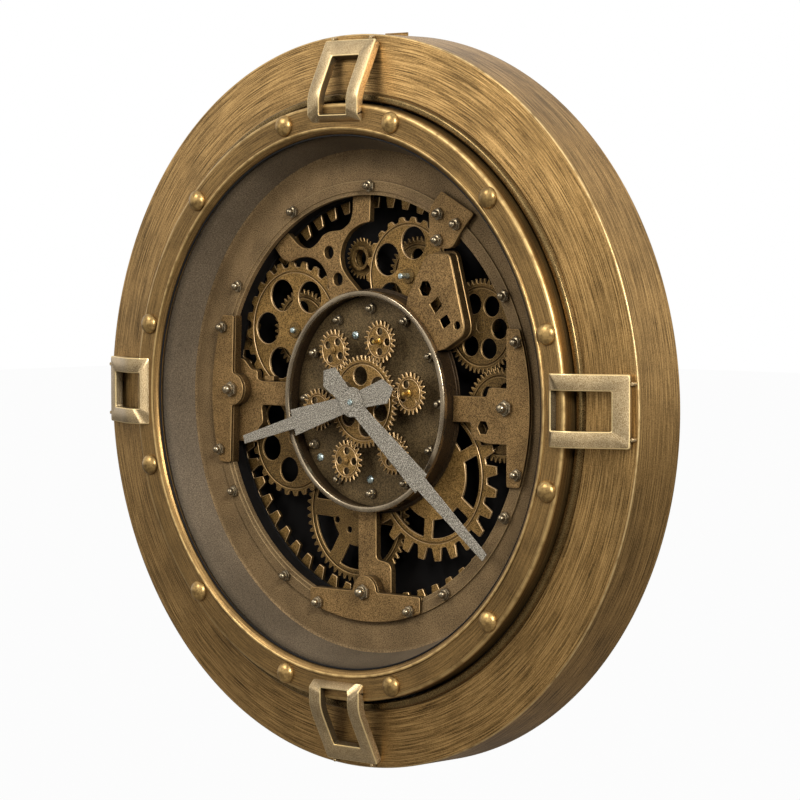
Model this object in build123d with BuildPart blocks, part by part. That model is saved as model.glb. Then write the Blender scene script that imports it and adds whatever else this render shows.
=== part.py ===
from build123d import *
import math
import os

# A gear wall clock. The wall is the plane Y = 0 and the clock faces -Y.
# A height is a distance from the wall towards the viewer, so it runs along -Y.
os.makedirs("parts", exist_ok=True)

# Clearances shared by the pieces
fit_gap = 0.2
running_gap = 0.05
level_gap = 0.4
overrun = 1.0

# Well and dial: the well's radius leads, and each ring outside it is a width wider
well_radius = 176.6
stud_ring_width = 8.2
dial_width = 25.7
pan_wall_width = 36.5
pan_sides = 48

# Bezel over the pan's wall, with a raised bead and an inner lip
bezel_overhang = 1.4
bezel_lip_width = 12.2
bezel_rise = 7.2
bezel_lip_rise = 4.5
bead_width = 9.8
bead_crest_width = 7.8
bead_rise = 2.2
rivet_count = 12
rivet_sides = 6
rivet_inset = 8.9
rivet_radius = 6.5
rivet_rise = 4.0
rivet_first_angle = 15.0

# Case: a can drawn from sheet, its front rolled in as a shallow cone
cone_gap = 4.2
cone_width = 53.4
cone_rise = 7.2
band_drop = 15.2
case_sheet = 1.2
keyhole_inset = 36.0
keyhole_radius = 5.0
keyhole_slot_width = 4.6
keyhole_slot_rise = 12.0
hanger_tab_width = 25.0
hanger_tab_rise = 3.0
hanger_tab_thickness = 2.0
battery_opening_gap = 3.5

# Glass
glass_thickness = 3.0
glass_sides = 60
glass_front_gap = 6.7

# Latches: sheet frames bent over the bezel and the cone
latch_half_width = 28.0
latch_window_half_width = 15.0
latch_inner_lap = 6.1
latch_bend_lap = 8.6
latch_outer_inset = 4.0
latch_rise = 6.0
latch_outer_rise = 5.0
latch_sheet = 1.5
latch_foot_lap = 11.3
latch_foot_length = 16.0
latch_window_inner_rim = 7.0
latch_window_outer_rim = 12.0

# Internal gear ring round the well
ring_gear_teeth = 60
ring_gear_sides = 40
ring_gear_tip_width = 14.3
ring_gear_root_width = 3.2
ring_gear_thickness = 3.4
ring_gear_tip_share = 0.34
ring_gear_base_share = 0.62
ring_seat_height = 15.0

# Large wheels in the well: three levels from the wall, one plate thickness each.
# Places and radii are shares of the well's radius, and turns are in degrees.
wheel_thickness = 2.4
arbor_radius = 5.0
arbor_end = 2.0
arbor_sides = 6
hole_sides = 6
coarse_tip_share = 0.36
coarse_base_share = 0.66
top_left_place_shares = (-0.564, 0.326)
top_left_edge_shares = (0.3403, 0.3075)
top_left_teeth = 24
top_left_turn = 4
top_left_hole_shares = (0.0776, 0.1903)
top_left_hole_turn = -2
top_right_place_shares = (0.1988, 0.5957)
top_right_edge_shares = (0.2797, 0.2582)
top_right_teeth = 22
top_right_turn = 2
top_right_hole_shares = (0.0776, 0.1591)
top_right_hole_turn = 79
upper_place_shares = (0.6455, 0.3664)
upper_hole_shares = (0.0481, 0.1133)
upper_hole_turn = -5
lower_direction = -73.65
lower_left_place_shares = (-0.5968, -0.2022)
lower_left_edge_shares = (0.2848, 0.2605)
lower_left_teeth = 28
lower_left_turn = 3
lower_left_hole_shares = (0.0623, 0.1591)
lower_left_hole_turn = 20
bottom_place_shares = (-0.1812, -0.5442)
bottom_edge_shares = (0.3403, 0.316)
bottom_teeth = 58
bottom_window_shares = (0.0906, 0.2775)
bottom_window_count = 5
bottom_window_turn = 30
bottom_window_open_share = 0.76
lower_right_place_shares = (0.3454, -0.3335)
lower_right_edge_shares = (0.4111, 0.3488)
lower_right_teeth = 24
lower_right_turn = 5
lower_right_window_shares = (0.2157, 0.3024)
lower_right_window_count = 6
lower_right_window_turn = 55
lower_right_window_open_share = 0.8
window_step_shares = (-0.5, -0.17, 0.17, 0.5)

# Centre drum and its floor
drum_share = 0.521
drum_wall = 3.2
drum_depth = 18.6
drum_bore_sides = 72
round_sides = 12
disc_sides = 48
disc_foot_gap = 3.1
disc_thickness = 3.0
disc_stud_count = 12
disc_stud_share = 0.878
disc_stud_radius = 3.8
disc_stud_length = 9.0

# Plates that carry the drum: stem and tongue as shares of the well's radius
arm_foot_gap = 4.1
arm_thickness = 3.0
arm_notch = 6.0
arm_stud_lap = 8.0
left_stem_shares = (-0.0725, 0.043)
left_tongue_shares = (0.787, -0.1812, 0.2265)
left_notch_shares = ((0.787, -0.1246), (0.787, 0.1472), (0.951, 0.185))
right_stem_shares = (-0.0776, 0.043)
right_tongue_shares = (0.7418, -0.1727, 0.0866)
right_notch_shares = ((0.7078, -0.0951),)
bottom_stem_shares = (-0.0951, 0.0227)
bottom_tongue_shares = (0.7684, -0.0951, 0.1212)
bottom_notch_shares = ((0.7684, 0.0963),)
bridge_shares = [
    (-0.345, 0.425), (-0.10, 0.525), (-0.03, 0.60), (-0.017, 0.985), (-0.155, 0.985), (-0.165, 0.865),
    (-0.28, 0.785), (-0.46, 0.86), (-0.56, 0.81), (-0.66, 0.71), (-0.57, 0.665), (-0.36, 0.62),
]
bridge_hole_shares = [(-0.29, 0.705), (-0.225, 0.57)]
bridge_hole_radius = 5.5
bridge_eye_shares = (-0.02, 0.70)
bridge_eye_share = 0.1614
bridge_eye_sides = 24
flanged_shares = [(0.219, 0.43), (0.439, 0.22), (0.644, 0.335), (0.544, 0.717), (0.382, 0.70)]
flanged_hole_shares = [(0.382, 0.525), (0.452, 0.449), (0.509, 0.372)]
flanged_hole_radius = 5.5
flange_bridge_gap = 0.6
flange_bridge_depth = 9.0
flange_bridge_sheet = 2.0

# Segment plates and the studs on them
bracket_thickness = 3.0
bracket_chord_share = 0.906
bracket_half_share = 0.3624
bracket_ear_radius = 13.7
bracket_ear_sides = 16
ring_stud_inset = 4.4
ring_stud_radius = 4.0
ring_stud_length = 9.0
ring_stud_angles = (30, 90, 120, 150, 210, 240, 300, 330)
bracket_stud_angle = 16.5
bracket_angles = (0, 180, 270)
anchor_radius = 6.0
anchor_length = 8.0
anchor_pillar_length = 7.5
nut_sides = 6
stud_plate_shares = [(0.503, 0.981), (0.705, 0.872), (0.625, 0.794), (0.547, 0.70), (0.42, 0.72), (0.428, 0.898)]
plate_stud_shares = [(0.492, 0.886), (0.602, 0.838), (0.487, 0.765)]
plate_pillar_shares = (0.475, 0.70)

# Clock movement with its fixed bushing
battery_radius = 7.0
battery_length = 49.0
battery_offset = 18.0
movement_wall = 3.5
movement_depth = 15.0
movement_boss_radius = 9.0
bushing_radius = 4.0
bushing_rise = 6.0
movement_bore_depth = 31.5
nut_radius = 8.0
nut_thickness = 2.6

# Display train: one centre wheel and six small wheels round it, sized from the drum
module_share = 0.016304
centre_teeth = 50
small_teeth = 22
small_count = 6
small_first_angle = 9.0
train_mesh_gap = 0.2
train_post_length = 9.5
train_thickness = 3.0
dedendum_share = 1.667
centre_hub_radius = 7.0
centre_hub_rise = 3.0
centre_first_angle = 0.0
centre_hole_count = 6
centre_hole_shares = (0.211, 0.579)
centre_hole_turn = -22
post_radius = 3.5
pin_radius = 1.5
short_pin_rise = 2.5
long_pin_rise = 8.0
long_pin_count = 2

# Hands: outlines are shares of the hand's own length
collet_length = 2.5
hand_thickness = 1.0
hand_gap = 1.0
hand_hub_radius = 12.5
hand_end_gap = 18.0
hour_length_share = 0.7065
hour_angle = 195.6
hour_shares = [(-0.285, 0.0765), (0, 0.047), (0.538, 0.0831), (0.538, 0.039), (1, 0.0272)]
hour_tail_share = 0.3566
minute_angle = -38.7
minute_shares = [(-0.17, 0.0556), (0, 0.0332), (0.534, 0.053), (0.534, 0.0343), (1, 0.0192)]
minute_tail_share = 0.2125
pipe_radius = 3.0
shaft_radius = 1.5
collet_radius = 5.0
cap_radius = 2.5
cap_rise = 1.8

# Heights above the wall, from the rear wheels up to the glass
case_floor = case_sheet
rear_level = ring_seat_height
middle_level = rear_level + ring_gear_thickness + level_gap
front_level = middle_level + wheel_thickness + level_gap
movement_front = front_level - level_gap
drum_foot_height = front_level + wheel_thickness + level_gap
drum_rim_height = drum_foot_height + drum_depth
disc_back_height = drum_foot_height + disc_foot_gap
disc_height = disc_back_height + disc_thickness
nut_height = disc_height + nut_thickness
arm_height = drum_foot_height + arm_foot_gap
arm_front = arm_height + arm_thickness
flange_bridge_height = drum_foot_height + flange_bridge_gap + flange_bridge_depth
dial_height = arm_front + anchor_pillar_length
bracket_height = dial_height + bracket_thickness
train_height = disc_height + train_post_length
bushing_height = train_height + train_thickness + centre_hub_rise + bushing_rise
hour_level = bushing_height + collet_length
minute_level = hour_level + hand_thickness + hand_gap
pan_height = minute_level + hand_thickness + cap_rise + glass_front_gap
bezel_height = pan_height + bezel_rise
band_height = pan_height - band_drop
cone_height = band_height + cone_rise

# Radii from the well outwards
stud_ring_radius = well_radius + stud_ring_width
pan_inner_radius = stud_ring_radius + dial_width
pan_outer_radius = pan_inner_radius + pan_wall_width
bezel_inner_radius = pan_inner_radius + bezel_lip_width
bezel_outer_radius = pan_outer_radius + bezel_overhang
bead_outer_radius = bezel_inner_radius + bead_width
bead_crest_radius = bezel_inner_radius + bead_crest_width
glass_radius = bezel_inner_radius - 2 * fit_gap
rivet_place_radius = bezel_outer_radius - rivet_inset
cone_radius = bezel_outer_radius + cone_gap
case_radius = cone_radius + cone_width
keyhole_place = case_radius - keyhole_inset
latch_inner_radius = bezel_inner_radius + latch_inner_lap
latch_foot_radius = bezel_inner_radius + latch_foot_lap
latch_bend_radius = bezel_outer_radius + latch_bend_lap
latch_outer_radius = case_radius - latch_outer_inset
latch_window_inner_radius = latch_foot_radius + latch_window_inner_rim
latch_window_outer_radius = latch_outer_radius - latch_window_outer_rim

# Radii from the well inwards
ring_gear_root_radius = well_radius - ring_gear_root_width
ring_gear_tip_radius = well_radius - ring_gear_tip_width
ring_stud_place_radius = stud_ring_radius - ring_stud_inset
bracket_chord = bracket_chord_share * well_radius
bracket_half_length = bracket_half_share * well_radius
tongue_outer_radius = bracket_chord + arm_stud_lap
drum_radius = drum_share * well_radius
disc_radius = drum_radius - drum_wall - fit_gap
disc_stud_place_radius = disc_stud_share * disc_radius
train_module = module_share * drum_radius
centre_pitch_radius = train_module * centre_teeth / 2
centre_tip_radius = centre_pitch_radius + train_module
centre_root_radius = centre_pitch_radius - dedendum_share * train_module
small_pitch_radius = train_module * small_teeth / 2
small_tip_radius = small_pitch_radius + train_module
small_root_radius = small_pitch_radius - dedendum_share * train_module
train_distance = centre_pitch_radius + small_pitch_radius + train_mesh_gap
minute_length = pan_inner_radius - hand_end_gap
hour_length = hour_length_share * minute_length
movement_width = battery_length + 2 * movement_wall

side_plane = Plane(origin=(0, 0, 0), x_dir=(1, 0, 0), z_dir=(0, 0, -1))


def facing(height):
    """Sketch plane parallel to the wall at a height, with +X to the right and +Z up."""
    return Plane.XZ.offset(height)


def polar(radius, angle):
    """Point at a radius and an angle in degrees, counted from +X towards +Z."""
    return (radius * math.cos(math.radians(angle)), radius * math.sin(math.radians(angle)))


def scaled(shares, length):
    """Points given as shares of one length."""
    return [(across * length, up * length) for across, up in shares]


def at_share(shares, length=well_radius):
    """One point given as shares of a length."""
    return (shares[0] * length, shares[1] * length)


def finish_piece(piece, name):
    """Label a finished piece and write it."""
    piece.label = name
    export_step(piece, f"parts/{name}.step")


def tooth_points(teeth, tip_radius, root_radius, first_angle, tip_share, base_share):
    """Edge of a wheel: straight flanks from a base to a tip, as shares of one tooth's pitch.

    A tooth with no tip share ends in a point, and one with the whole base share meets its neighbour.
    """
    corners = [(-base_share / 2, root_radius), (0, tip_radius)]
    if tip_share > 0:
        corners = [corners[0], (-tip_share / 2, tip_radius), (tip_share / 2, tip_radius)]
    if base_share < 1:
        corners.append((base_share / 2, root_radius))
    pitch = 360 / teeth
    return [
        polar(radius, first_angle + (number + share) * pitch)
        for number in range(teeth)
        for share, radius in corners
    ]


# Case shell
with BuildPart() as case_shell:
    with BuildSketch(side_plane):
        with BuildLine():
            Polyline(
                (0, 0),
                (case_radius, 0),
                (case_radius, band_height),
                (cone_radius, cone_height),
                (cone_radius, band_height - case_sheet),
                (case_radius - case_sheet, band_height - case_sheet),
                (case_radius - case_sheet, case_floor),
                (0, case_floor),
                close=True,
            )
        make_face()
    revolve(axis=Axis.Y, revolution_arc=360)
    with BuildSketch(facing(0)):
        with Locations((0, -battery_offset)):
            Rectangle(battery_length + 2 * battery_opening_gap, 2 * battery_radius + 2 * battery_opening_gap)
        with Locations((0, keyhole_place)):
            Circle(keyhole_radius)
        with Locations((0, keyhole_place + keyhole_slot_rise / 2)):
            SlotCenterToCenter(keyhole_slot_rise, keyhole_slot_width, rotation=90)
    extrude(amount=case_floor, mode=Mode.SUBTRACT)
finish_piece(case_shell.part, "case_shell")

# Hanger tab that stands just above the band
with BuildPart() as hanger_tab:
    with BuildSketch(facing(0)):
        with Locations((0, case_radius)):
            Rectangle(hanger_tab_width, 2 * hanger_tab_rise)
        Circle(case_radius, mode=Mode.SUBTRACT)
    extrude(amount=hanger_tab_thickness)
finish_piece(hanger_tab.part, "hanger_tab")

# Dial pan: a deep wall round the flat dial, open at the well
with BuildPart() as dial_pan:
    with BuildSketch(facing(case_floor)):
        RegularPolygon(pan_outer_radius, pan_sides)
        Circle(well_radius, mode=Mode.SUBTRACT)
    extrude(amount=pan_height - case_floor)
    with BuildSketch(facing(dial_height)):
        Circle(pan_inner_radius)
    extrude(amount=pan_height - dial_height, mode=Mode.SUBTRACT)
finish_piece(dial_pan.part, "dial_pan")

# Glass
with BuildPart() as glass_lens:
    with BuildSketch(facing(pan_height)):
        RegularPolygon(glass_radius, glass_sides)
    extrude(amount=glass_thickness)
finish_piece(glass_lens.part, "glass_lens")

# Bezel: a flat front, a raised bead and an inner lip round the glass
with BuildPart() as bezel_ring:
    with BuildSketch(side_plane):
        with BuildLine():
            Polyline(
                (bezel_outer_radius, pan_height),
                (bezel_outer_radius, bezel_height),
                (bead_outer_radius, bezel_height),
                (bead_crest_radius, bezel_height + bead_rise),
                (bezel_inner_radius, pan_height + bezel_lip_rise),
                (bezel_inner_radius, pan_height),
                close=True,
            )
        make_face()
    revolve(axis=Axis.Y, revolution_arc=360)
finish_piece(bezel_ring.part, "bezel_ring")

# Rivets on the bezel
with BuildPart() as bezel_rivets:
    with BuildSketch(facing(bezel_height)):
        with PolarLocations(rivet_place_radius, rivet_count, start_angle=rivet_first_angle):
            RegularPolygon(rivet_radius, rivet_sides)
    extrude(amount=rivet_rise)
finish_piece(bezel_rivets.part, "bezel_rivets")


# Latches
def make_latch(turn):
    """Bent frame with turned sides, seated on the bezel's front and over the cone."""
    top = bezel_height + latch_rise
    cone_fall = (cone_height - band_height) / (case_radius - cone_radius)
    outer_foot = band_height + (case_radius - latch_outer_radius) * cone_fall + running_gap
    outer_top = outer_foot + latch_outer_rise
    outline = [
        (latch_inner_radius, top),
        (latch_bend_radius, top),
        (latch_outer_radius, outer_top),
        (latch_outer_radius, outer_foot),
        (latch_foot_radius + latch_foot_length, bezel_height),
        (latch_foot_radius, bezel_height),
        (latch_inner_radius, top - latch_sheet),
    ]
    hollow = [
        (latch_inner_radius - overrun, top - latch_sheet),
        (latch_bend_radius - latch_sheet / 2, top - latch_sheet),
        (latch_outer_radius + overrun, outer_top - latch_sheet - overrun / 2),
        (latch_outer_radius + overrun, outer_foot - latch_rise),
        (latch_inner_radius - overrun, bezel_height - latch_rise),
    ]
    with BuildPart() as latch:
        with BuildSketch(side_plane):
            with BuildLine():
                Polyline(*outline, close=True)
            make_face()
        extrude(amount=latch_half_width, both=True)
        with BuildSketch(side_plane):
            with BuildLine():
                Polyline(*hollow, close=True)
            make_face()
        extrude(amount=latch_half_width - latch_sheet, both=True, mode=Mode.SUBTRACT)
        with BuildSketch(facing(bezel_height - latch_rise - cone_height)):
            with Locations(((latch_window_inner_radius + latch_window_outer_radius) / 2, 0)):
                Rectangle(latch_window_outer_radius - latch_window_inner_radius, 2 * latch_window_half_width)
        extrude(amount=top + cone_height, mode=Mode.SUBTRACT)
    return latch.part.rotate(Axis.Y, -turn)


for latch_name, latch_turn in (("right", 0), ("top", 90), ("left", 180), ("bottom", 270)):
    finish_piece(make_latch(latch_turn), f"latch_{latch_name}")

# Ring gear: a tooth gap faces +X
with BuildPart() as ring_gear:
    with BuildSketch(facing(ring_seat_height)):
        RegularPolygon(well_radius - fit_gap, ring_gear_sides)
        with BuildLine():
            Polyline(*tooth_points(
                ring_gear_teeth, ring_gear_root_radius, ring_gear_tip_radius, 0,
                ring_gear_tip_share, ring_gear_base_share,
            ), close=True)
        make_face(mode=Mode.SUBTRACT)
    extrude(amount=ring_gear_thickness)
finish_piece(ring_gear.part, "ring_gear")


# Large wheels
wheel_places = {}


def window_points(inner_radius, outer_radius, middle, width):
    """Window between two spokes, with a curved inner and outer side, width in degrees."""
    outer = [polar(outer_radius, middle + step * width) for step in window_step_shares]
    inner = [polar(inner_radius, middle + step * width) for step in reversed(window_step_shares)]
    return outer + inner


def make_wheel(name, centre, level, teeth, radii, turn, shape, holes=None, windows=None):
    """Flat toothed wheel on a six-sided arbor, with round holes or windows in its web.

    Radii are those of the tips and the roots, shape is the share of a tooth's pitch at its tip and its base.
    """
    wheel_places[name] = (centre, level)
    with BuildPart() as wheel:
        with BuildSketch(Plane(origin=(centre[0], -level, centre[1]), x_dir=(1, 0, 0), z_dir=(0, -1, 0))):
            with BuildLine():
                Polyline(*tooth_points(teeth, *radii, turn, *shape), close=True)
            make_face()
            if holes:
                (hole_radius, hole_place_radius), hole_count, hole_turn = holes
                with PolarLocations(hole_place_radius, hole_count, start_angle=hole_turn):
                    RegularPolygon(hole_radius, hole_sides, mode=Mode.SUBTRACT)
            if windows:
                (inner_radius, outer_radius), window_count, window_turn, open_share = windows
                for number in range(window_count):
                    middle = window_turn + number * 360 / window_count
                    with BuildLine():
                        Polyline(*window_points(
                            inner_radius, outer_radius, middle, open_share * 360 / window_count,
                        ), close=True)
                    make_face(mode=Mode.SUBTRACT)
            RegularPolygon(arbor_radius + running_gap, arbor_sides, mode=Mode.SUBTRACT)
        extrude(amount=wheel_thickness)
    finish_piece(wheel.part, name)


# The two fine-toothed wheels that mesh at the right
coarse = (coarse_tip_share, coarse_base_share)
pointed = (0, 1)
fine_radii = (centre_tip_radius, centre_root_radius)
upper_place = at_share(upper_place_shares)
lower_step = polar(2 * centre_pitch_radius + train_mesh_gap, lower_direction)
lower_place = (upper_place[0] + lower_step[0], upper_place[1] + lower_step[1])
lower_turn = lower_direction + 180 + 180 / centre_teeth

make_wheel(
    "wheel_top_left", at_share(top_left_place_shares), front_level, top_left_teeth,
    at_share(top_left_edge_shares), top_left_turn, coarse,
    holes=(at_share(top_left_hole_shares), 6, top_left_hole_turn),
)
make_wheel(
    "wheel_top_right", at_share(top_right_place_shares), front_level, top_right_teeth,
    at_share(top_right_edge_shares), top_right_turn, coarse,
    holes=(at_share(top_right_hole_shares), 5, top_right_hole_turn),
)
make_wheel(
    "wheel_right_upper", upper_place, middle_level, centre_teeth, fine_radii, lower_direction, pointed,
    holes=(at_share(upper_hole_shares), 6, upper_hole_turn),
)
make_wheel("wheel_right_lower", lower_place, middle_level, centre_teeth, fine_radii, lower_turn, pointed)
make_wheel(
    "wheel_lower_left", at_share(lower_left_place_shares), middle_level, lower_left_teeth,
    at_share(lower_left_edge_shares), lower_left_turn, coarse,
    holes=(at_share(lower_left_hole_shares), 6, lower_left_hole_turn),
)
make_wheel(
    "wheel_bottom", at_share(bottom_place_shares), rear_level, bottom_teeth,
    at_share(bottom_edge_shares), 0, pointed,
    windows=(at_share(bottom_window_shares), bottom_window_count, bottom_window_turn, bottom_window_open_share),
)
make_wheel(
    "wheel_lower_right", at_share(lower_right_place_shares), front_level, lower_right_teeth,
    at_share(lower_right_edge_shares), lower_right_turn, coarse,
    windows=(
        at_share(lower_right_window_shares), lower_right_window_count, lower_right_window_turn,
        lower_right_window_open_share,
    ),
)

# Arbors from the case's floor through the wheels, flush with the wheel where the drum stands over them
with BuildPart() as wheel_arbors:
    for centre, level in wheel_places.values():
        under_drum = math.hypot(*centre) < drum_radius + arbor_radius
        with BuildSketch(facing(case_floor)):
            with Locations(centre):
                RegularPolygon(arbor_radius, arbor_sides)
        extrude(amount=level + wheel_thickness + (0 if under_drum else arbor_end) - case_floor)
finish_piece(wheel_arbors.part, "wheel_arbors")

# Centre drum: a round wall, open at the front
with BuildPart() as centre_drum:
    with BuildSketch(facing(drum_foot_height)):
        Circle(drum_radius)
        RegularPolygon(drum_radius - drum_wall, drum_bore_sides, major_radius=False, mode=Mode.SUBTRACT)
    extrude(amount=drum_depth)
finish_piece(centre_drum.part, "centre_drum")

# Floor of the drum
with BuildPart() as disc_plate:
    with BuildSketch(facing(disc_back_height)):
        RegularPolygon(disc_radius, disc_sides)
        RegularPolygon(bushing_radius + running_gap, round_sides, mode=Mode.SUBTRACT)
    extrude(amount=disc_thickness)
finish_piece(disc_plate.part, "disc_plate")

with BuildPart() as disc_studs:
    with BuildSketch(facing(disc_height)):
        with PolarLocations(disc_stud_place_radius, disc_stud_count):
            RegularPolygon(disc_stud_radius, nut_sides)
    extrude(amount=disc_stud_length)
finish_piece(disc_studs.part, "disc_studs")


# Plates that carry the drum, each with a tongue under its segment plate
def make_arm(name, turn, stem_shares, tongue_shares, notch_shares):
    """Stem from the drum's wall outwards with a notched cross tongue, turned about the axis."""
    stem_inner = drum_radius + fit_gap
    stem_low, stem_high = at_share(stem_shares)
    tongue_inner, tongue_low, tongue_high = [share * well_radius for share in tongue_shares]
    with BuildPart() as arm:
        with BuildSketch(facing(arm_height)):
            with Locations(((stem_inner + tongue_inner) / 2, (stem_low + stem_high) / 2)):
                Rectangle(tongue_inner - stem_inner, stem_high - stem_low)
            with Locations(((tongue_inner + tongue_outer_radius) / 2, (tongue_low + tongue_high) / 2)):
                Rectangle(tongue_outer_radius - tongue_inner, tongue_high - tongue_low)
            Circle(stem_inner, mode=Mode.SUBTRACT)
            with Locations(*scaled(notch_shares, well_radius)):
                Rectangle(2 * arm_notch, arm_notch, mode=Mode.SUBTRACT)
        extrude(amount=arm_thickness)
    finish_piece(arm.part.rotate(Axis.Y, -turn), name)


make_arm("arm_left", 180, left_stem_shares, left_tongue_shares, left_notch_shares)
make_arm("arm_right", 0, right_stem_shares, right_tongue_shares, right_notch_shares)
make_arm("arm_bottom", 270, bottom_stem_shares, bottom_tongue_shares, bottom_notch_shares)

# Bridge at the top: two arms up to the well's wall, cut back round the wheels
with BuildPart() as top_bridge:
    with BuildSketch(facing(arm_height)):
        with BuildLine():
            Polyline(*scaled(bridge_shares, well_radius), close=True)
        make_face()
        Circle(drum_radius + fit_gap, mode=Mode.SUBTRACT)
        with Locations(at_share(bridge_eye_shares)):
            RegularPolygon(bridge_eye_share * well_radius, bridge_eye_sides, mode=Mode.SUBTRACT)
        with Locations(*scaled(bridge_hole_shares, well_radius)):
            RegularPolygon(bridge_hole_radius, hole_sides, mode=Mode.SUBTRACT)
    extrude(amount=arm_thickness)
finish_piece(top_bridge.part, "top_bridge")

# Bridge with turned sides at the upper right, its lower edge round the drum
with BuildPart() as flanged_bridge:
    with BuildSketch(facing(flange_bridge_height - flange_bridge_depth)):
        with BuildLine():
            Polyline(*scaled(flanged_shares, well_radius), close=True)
        make_face()
        Circle(drum_radius + fit_gap, mode=Mode.SUBTRACT)
    extrude(amount=flange_bridge_depth)
    with BuildSketch(facing(flange_bridge_height - flange_bridge_depth)):
        with BuildLine():
            Polyline(*scaled(flanged_shares, well_radius), close=True)
        make_face()
        Circle(drum_radius + fit_gap, mode=Mode.SUBTRACT)
        offset(amount=-flange_bridge_sheet, kind=Kind.INTERSECTION, mode=Mode.REPLACE)
    extrude(amount=flange_bridge_depth - flange_bridge_sheet, mode=Mode.SUBTRACT)
    with BuildSketch(facing(flange_bridge_height - flange_bridge_sheet)):
        with Locations(*scaled(flanged_hole_shares, well_radius)):
            RegularPolygon(flanged_hole_radius, nut_sides)
    extrude(amount=flange_bridge_sheet, mode=Mode.SUBTRACT)
finish_piece(flanged_bridge.part, "flanged_bridge")


# Segment plates on the stud ring, at the left, the right and the bottom
def make_bracket(name, turn):
    """Circular segment with square ends and a round ear on its chord."""
    with BuildPart() as bracket:
        with BuildSketch(facing(dial_height)):
            Circle(stud_ring_radius)
            with Locations(((stud_ring_radius + bracket_chord) / 2, 0)):
                Rectangle(stud_ring_radius - bracket_chord, 2 * bracket_half_length, mode=Mode.INTERSECT)
            with Locations((bracket_chord, 0)):
                RegularPolygon(bracket_ear_radius, bracket_ear_sides)
        extrude(amount=bracket_thickness)
    finish_piece(bracket.part.rotate(Axis.Y, -turn), name)


for bracket_name, bracket_turn in zip(("right", "left", "bottom"), bracket_angles):
    make_bracket(f"segment_bracket_{bracket_name}", bracket_turn)

# Plate that ties the flanged bridge to the stud ring
with BuildPart() as stud_plate:
    with BuildSketch(facing(dial_height)):
        with BuildLine():
            Polyline(*scaled(stud_plate_shares, well_radius), close=True)
        make_face()
    extrude(amount=bracket_thickness)
finish_piece(stud_plate.part, "stud_plate")

# Small studs on the stud ring and on the plates
with BuildPart() as dial_studs:
    with BuildSketch(facing(dial_height)):
        for angle in ring_stud_angles:
            with Locations(polar(ring_stud_place_radius, angle)):
                RegularPolygon(ring_stud_radius, nut_sides)
    extrude(amount=ring_stud_length)
    with BuildSketch(facing(bracket_height)):
        for middle in bracket_angles:
            for side in (-1, 1):
                with Locations(polar(ring_stud_place_radius, middle + side * bracket_stud_angle)):
                    RegularPolygon(ring_stud_radius, nut_sides)
        with Locations(*scaled(plate_stud_shares, well_radius)):
            RegularPolygon(ring_stud_radius, nut_sides)
    extrude(amount=ring_stud_length)
finish_piece(dial_studs.part, "dial_studs")

# Anchors: pillars between the plates, with their nuts in front
with BuildPart() as anchor_studs:
    with BuildSketch(facing(arm_front)):
        for angle in bracket_angles:
            with Locations(polar(bracket_chord, angle)):
                RegularPolygon(anchor_radius, nut_sides)
    extrude(amount=dial_height - arm_front)
    with BuildSketch(facing(flange_bridge_height)):
        with Locations(at_share(plate_pillar_shares)):
            RegularPolygon(ring_stud_radius, nut_sides)
    extrude(amount=dial_height - flange_bridge_height)
    with BuildSketch(facing(bracket_height)):
        for angle in bracket_angles:
            with Locations(polar(bracket_chord, angle)):
                RegularPolygon(anchor_radius, nut_sides)
    extrude(amount=anchor_length)
finish_piece(anchor_studs.part, "anchor_studs")

# Clock movement behind the front wheels, its boss under the drum's floor and the fixed bushing through it
with BuildPart() as quartz_movement:
    with BuildSketch(facing(movement_front - movement_depth)):
        Rectangle(movement_width, movement_width)
        with Locations((0, -battery_offset)):
            Rectangle(battery_length + 2 * fit_gap, 2 * battery_radius + 2 * fit_gap, mode=Mode.SUBTRACT)
    extrude(amount=movement_depth)
    with BuildSketch(facing(movement_front - case_sheet)):
        with Locations((0, -battery_offset)):
            Rectangle(battery_length + 2 * fit_gap, 2 * battery_radius + 2 * fit_gap)
    extrude(amount=case_sheet)
    with BuildSketch(facing(movement_front)):
        RegularPolygon(movement_boss_radius, round_sides)
    extrude(amount=disc_back_height - movement_front)
    with BuildSketch(facing(disc_back_height)):
        RegularPolygon(bushing_radius, round_sides)
    extrude(amount=bushing_height - disc_back_height)
    with BuildSketch(facing(bushing_height - movement_bore_depth)):
        RegularPolygon(pipe_radius + running_gap, round_sides, major_radius=False)
    extrude(amount=movement_bore_depth, mode=Mode.SUBTRACT)
finish_piece(quartz_movement.part, "quartz_movement")

# Battery in the movement's back
with BuildPart() as battery:
    battery_height = movement_front - case_sheet - battery_radius - fit_gap
    with BuildSketch(Plane(origin=(0, -battery_height, -battery_offset), x_dir=(0, 1, 0), z_dir=(1, 0, 0))):
        RegularPolygon(battery_radius, round_sides)
    extrude(amount=battery_length / 2, both=True)
finish_piece(battery.part, "battery")

# Nut that clamps the movement to the floor
with BuildPart() as movement_nut:
    with BuildSketch(facing(disc_height)):
        RegularPolygon(nut_radius, nut_sides)
        RegularPolygon(bushing_radius + running_gap, round_sides, mode=Mode.SUBTRACT)
    extrude(amount=nut_thickness)
finish_piece(movement_nut.part, "movement_nut")

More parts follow.
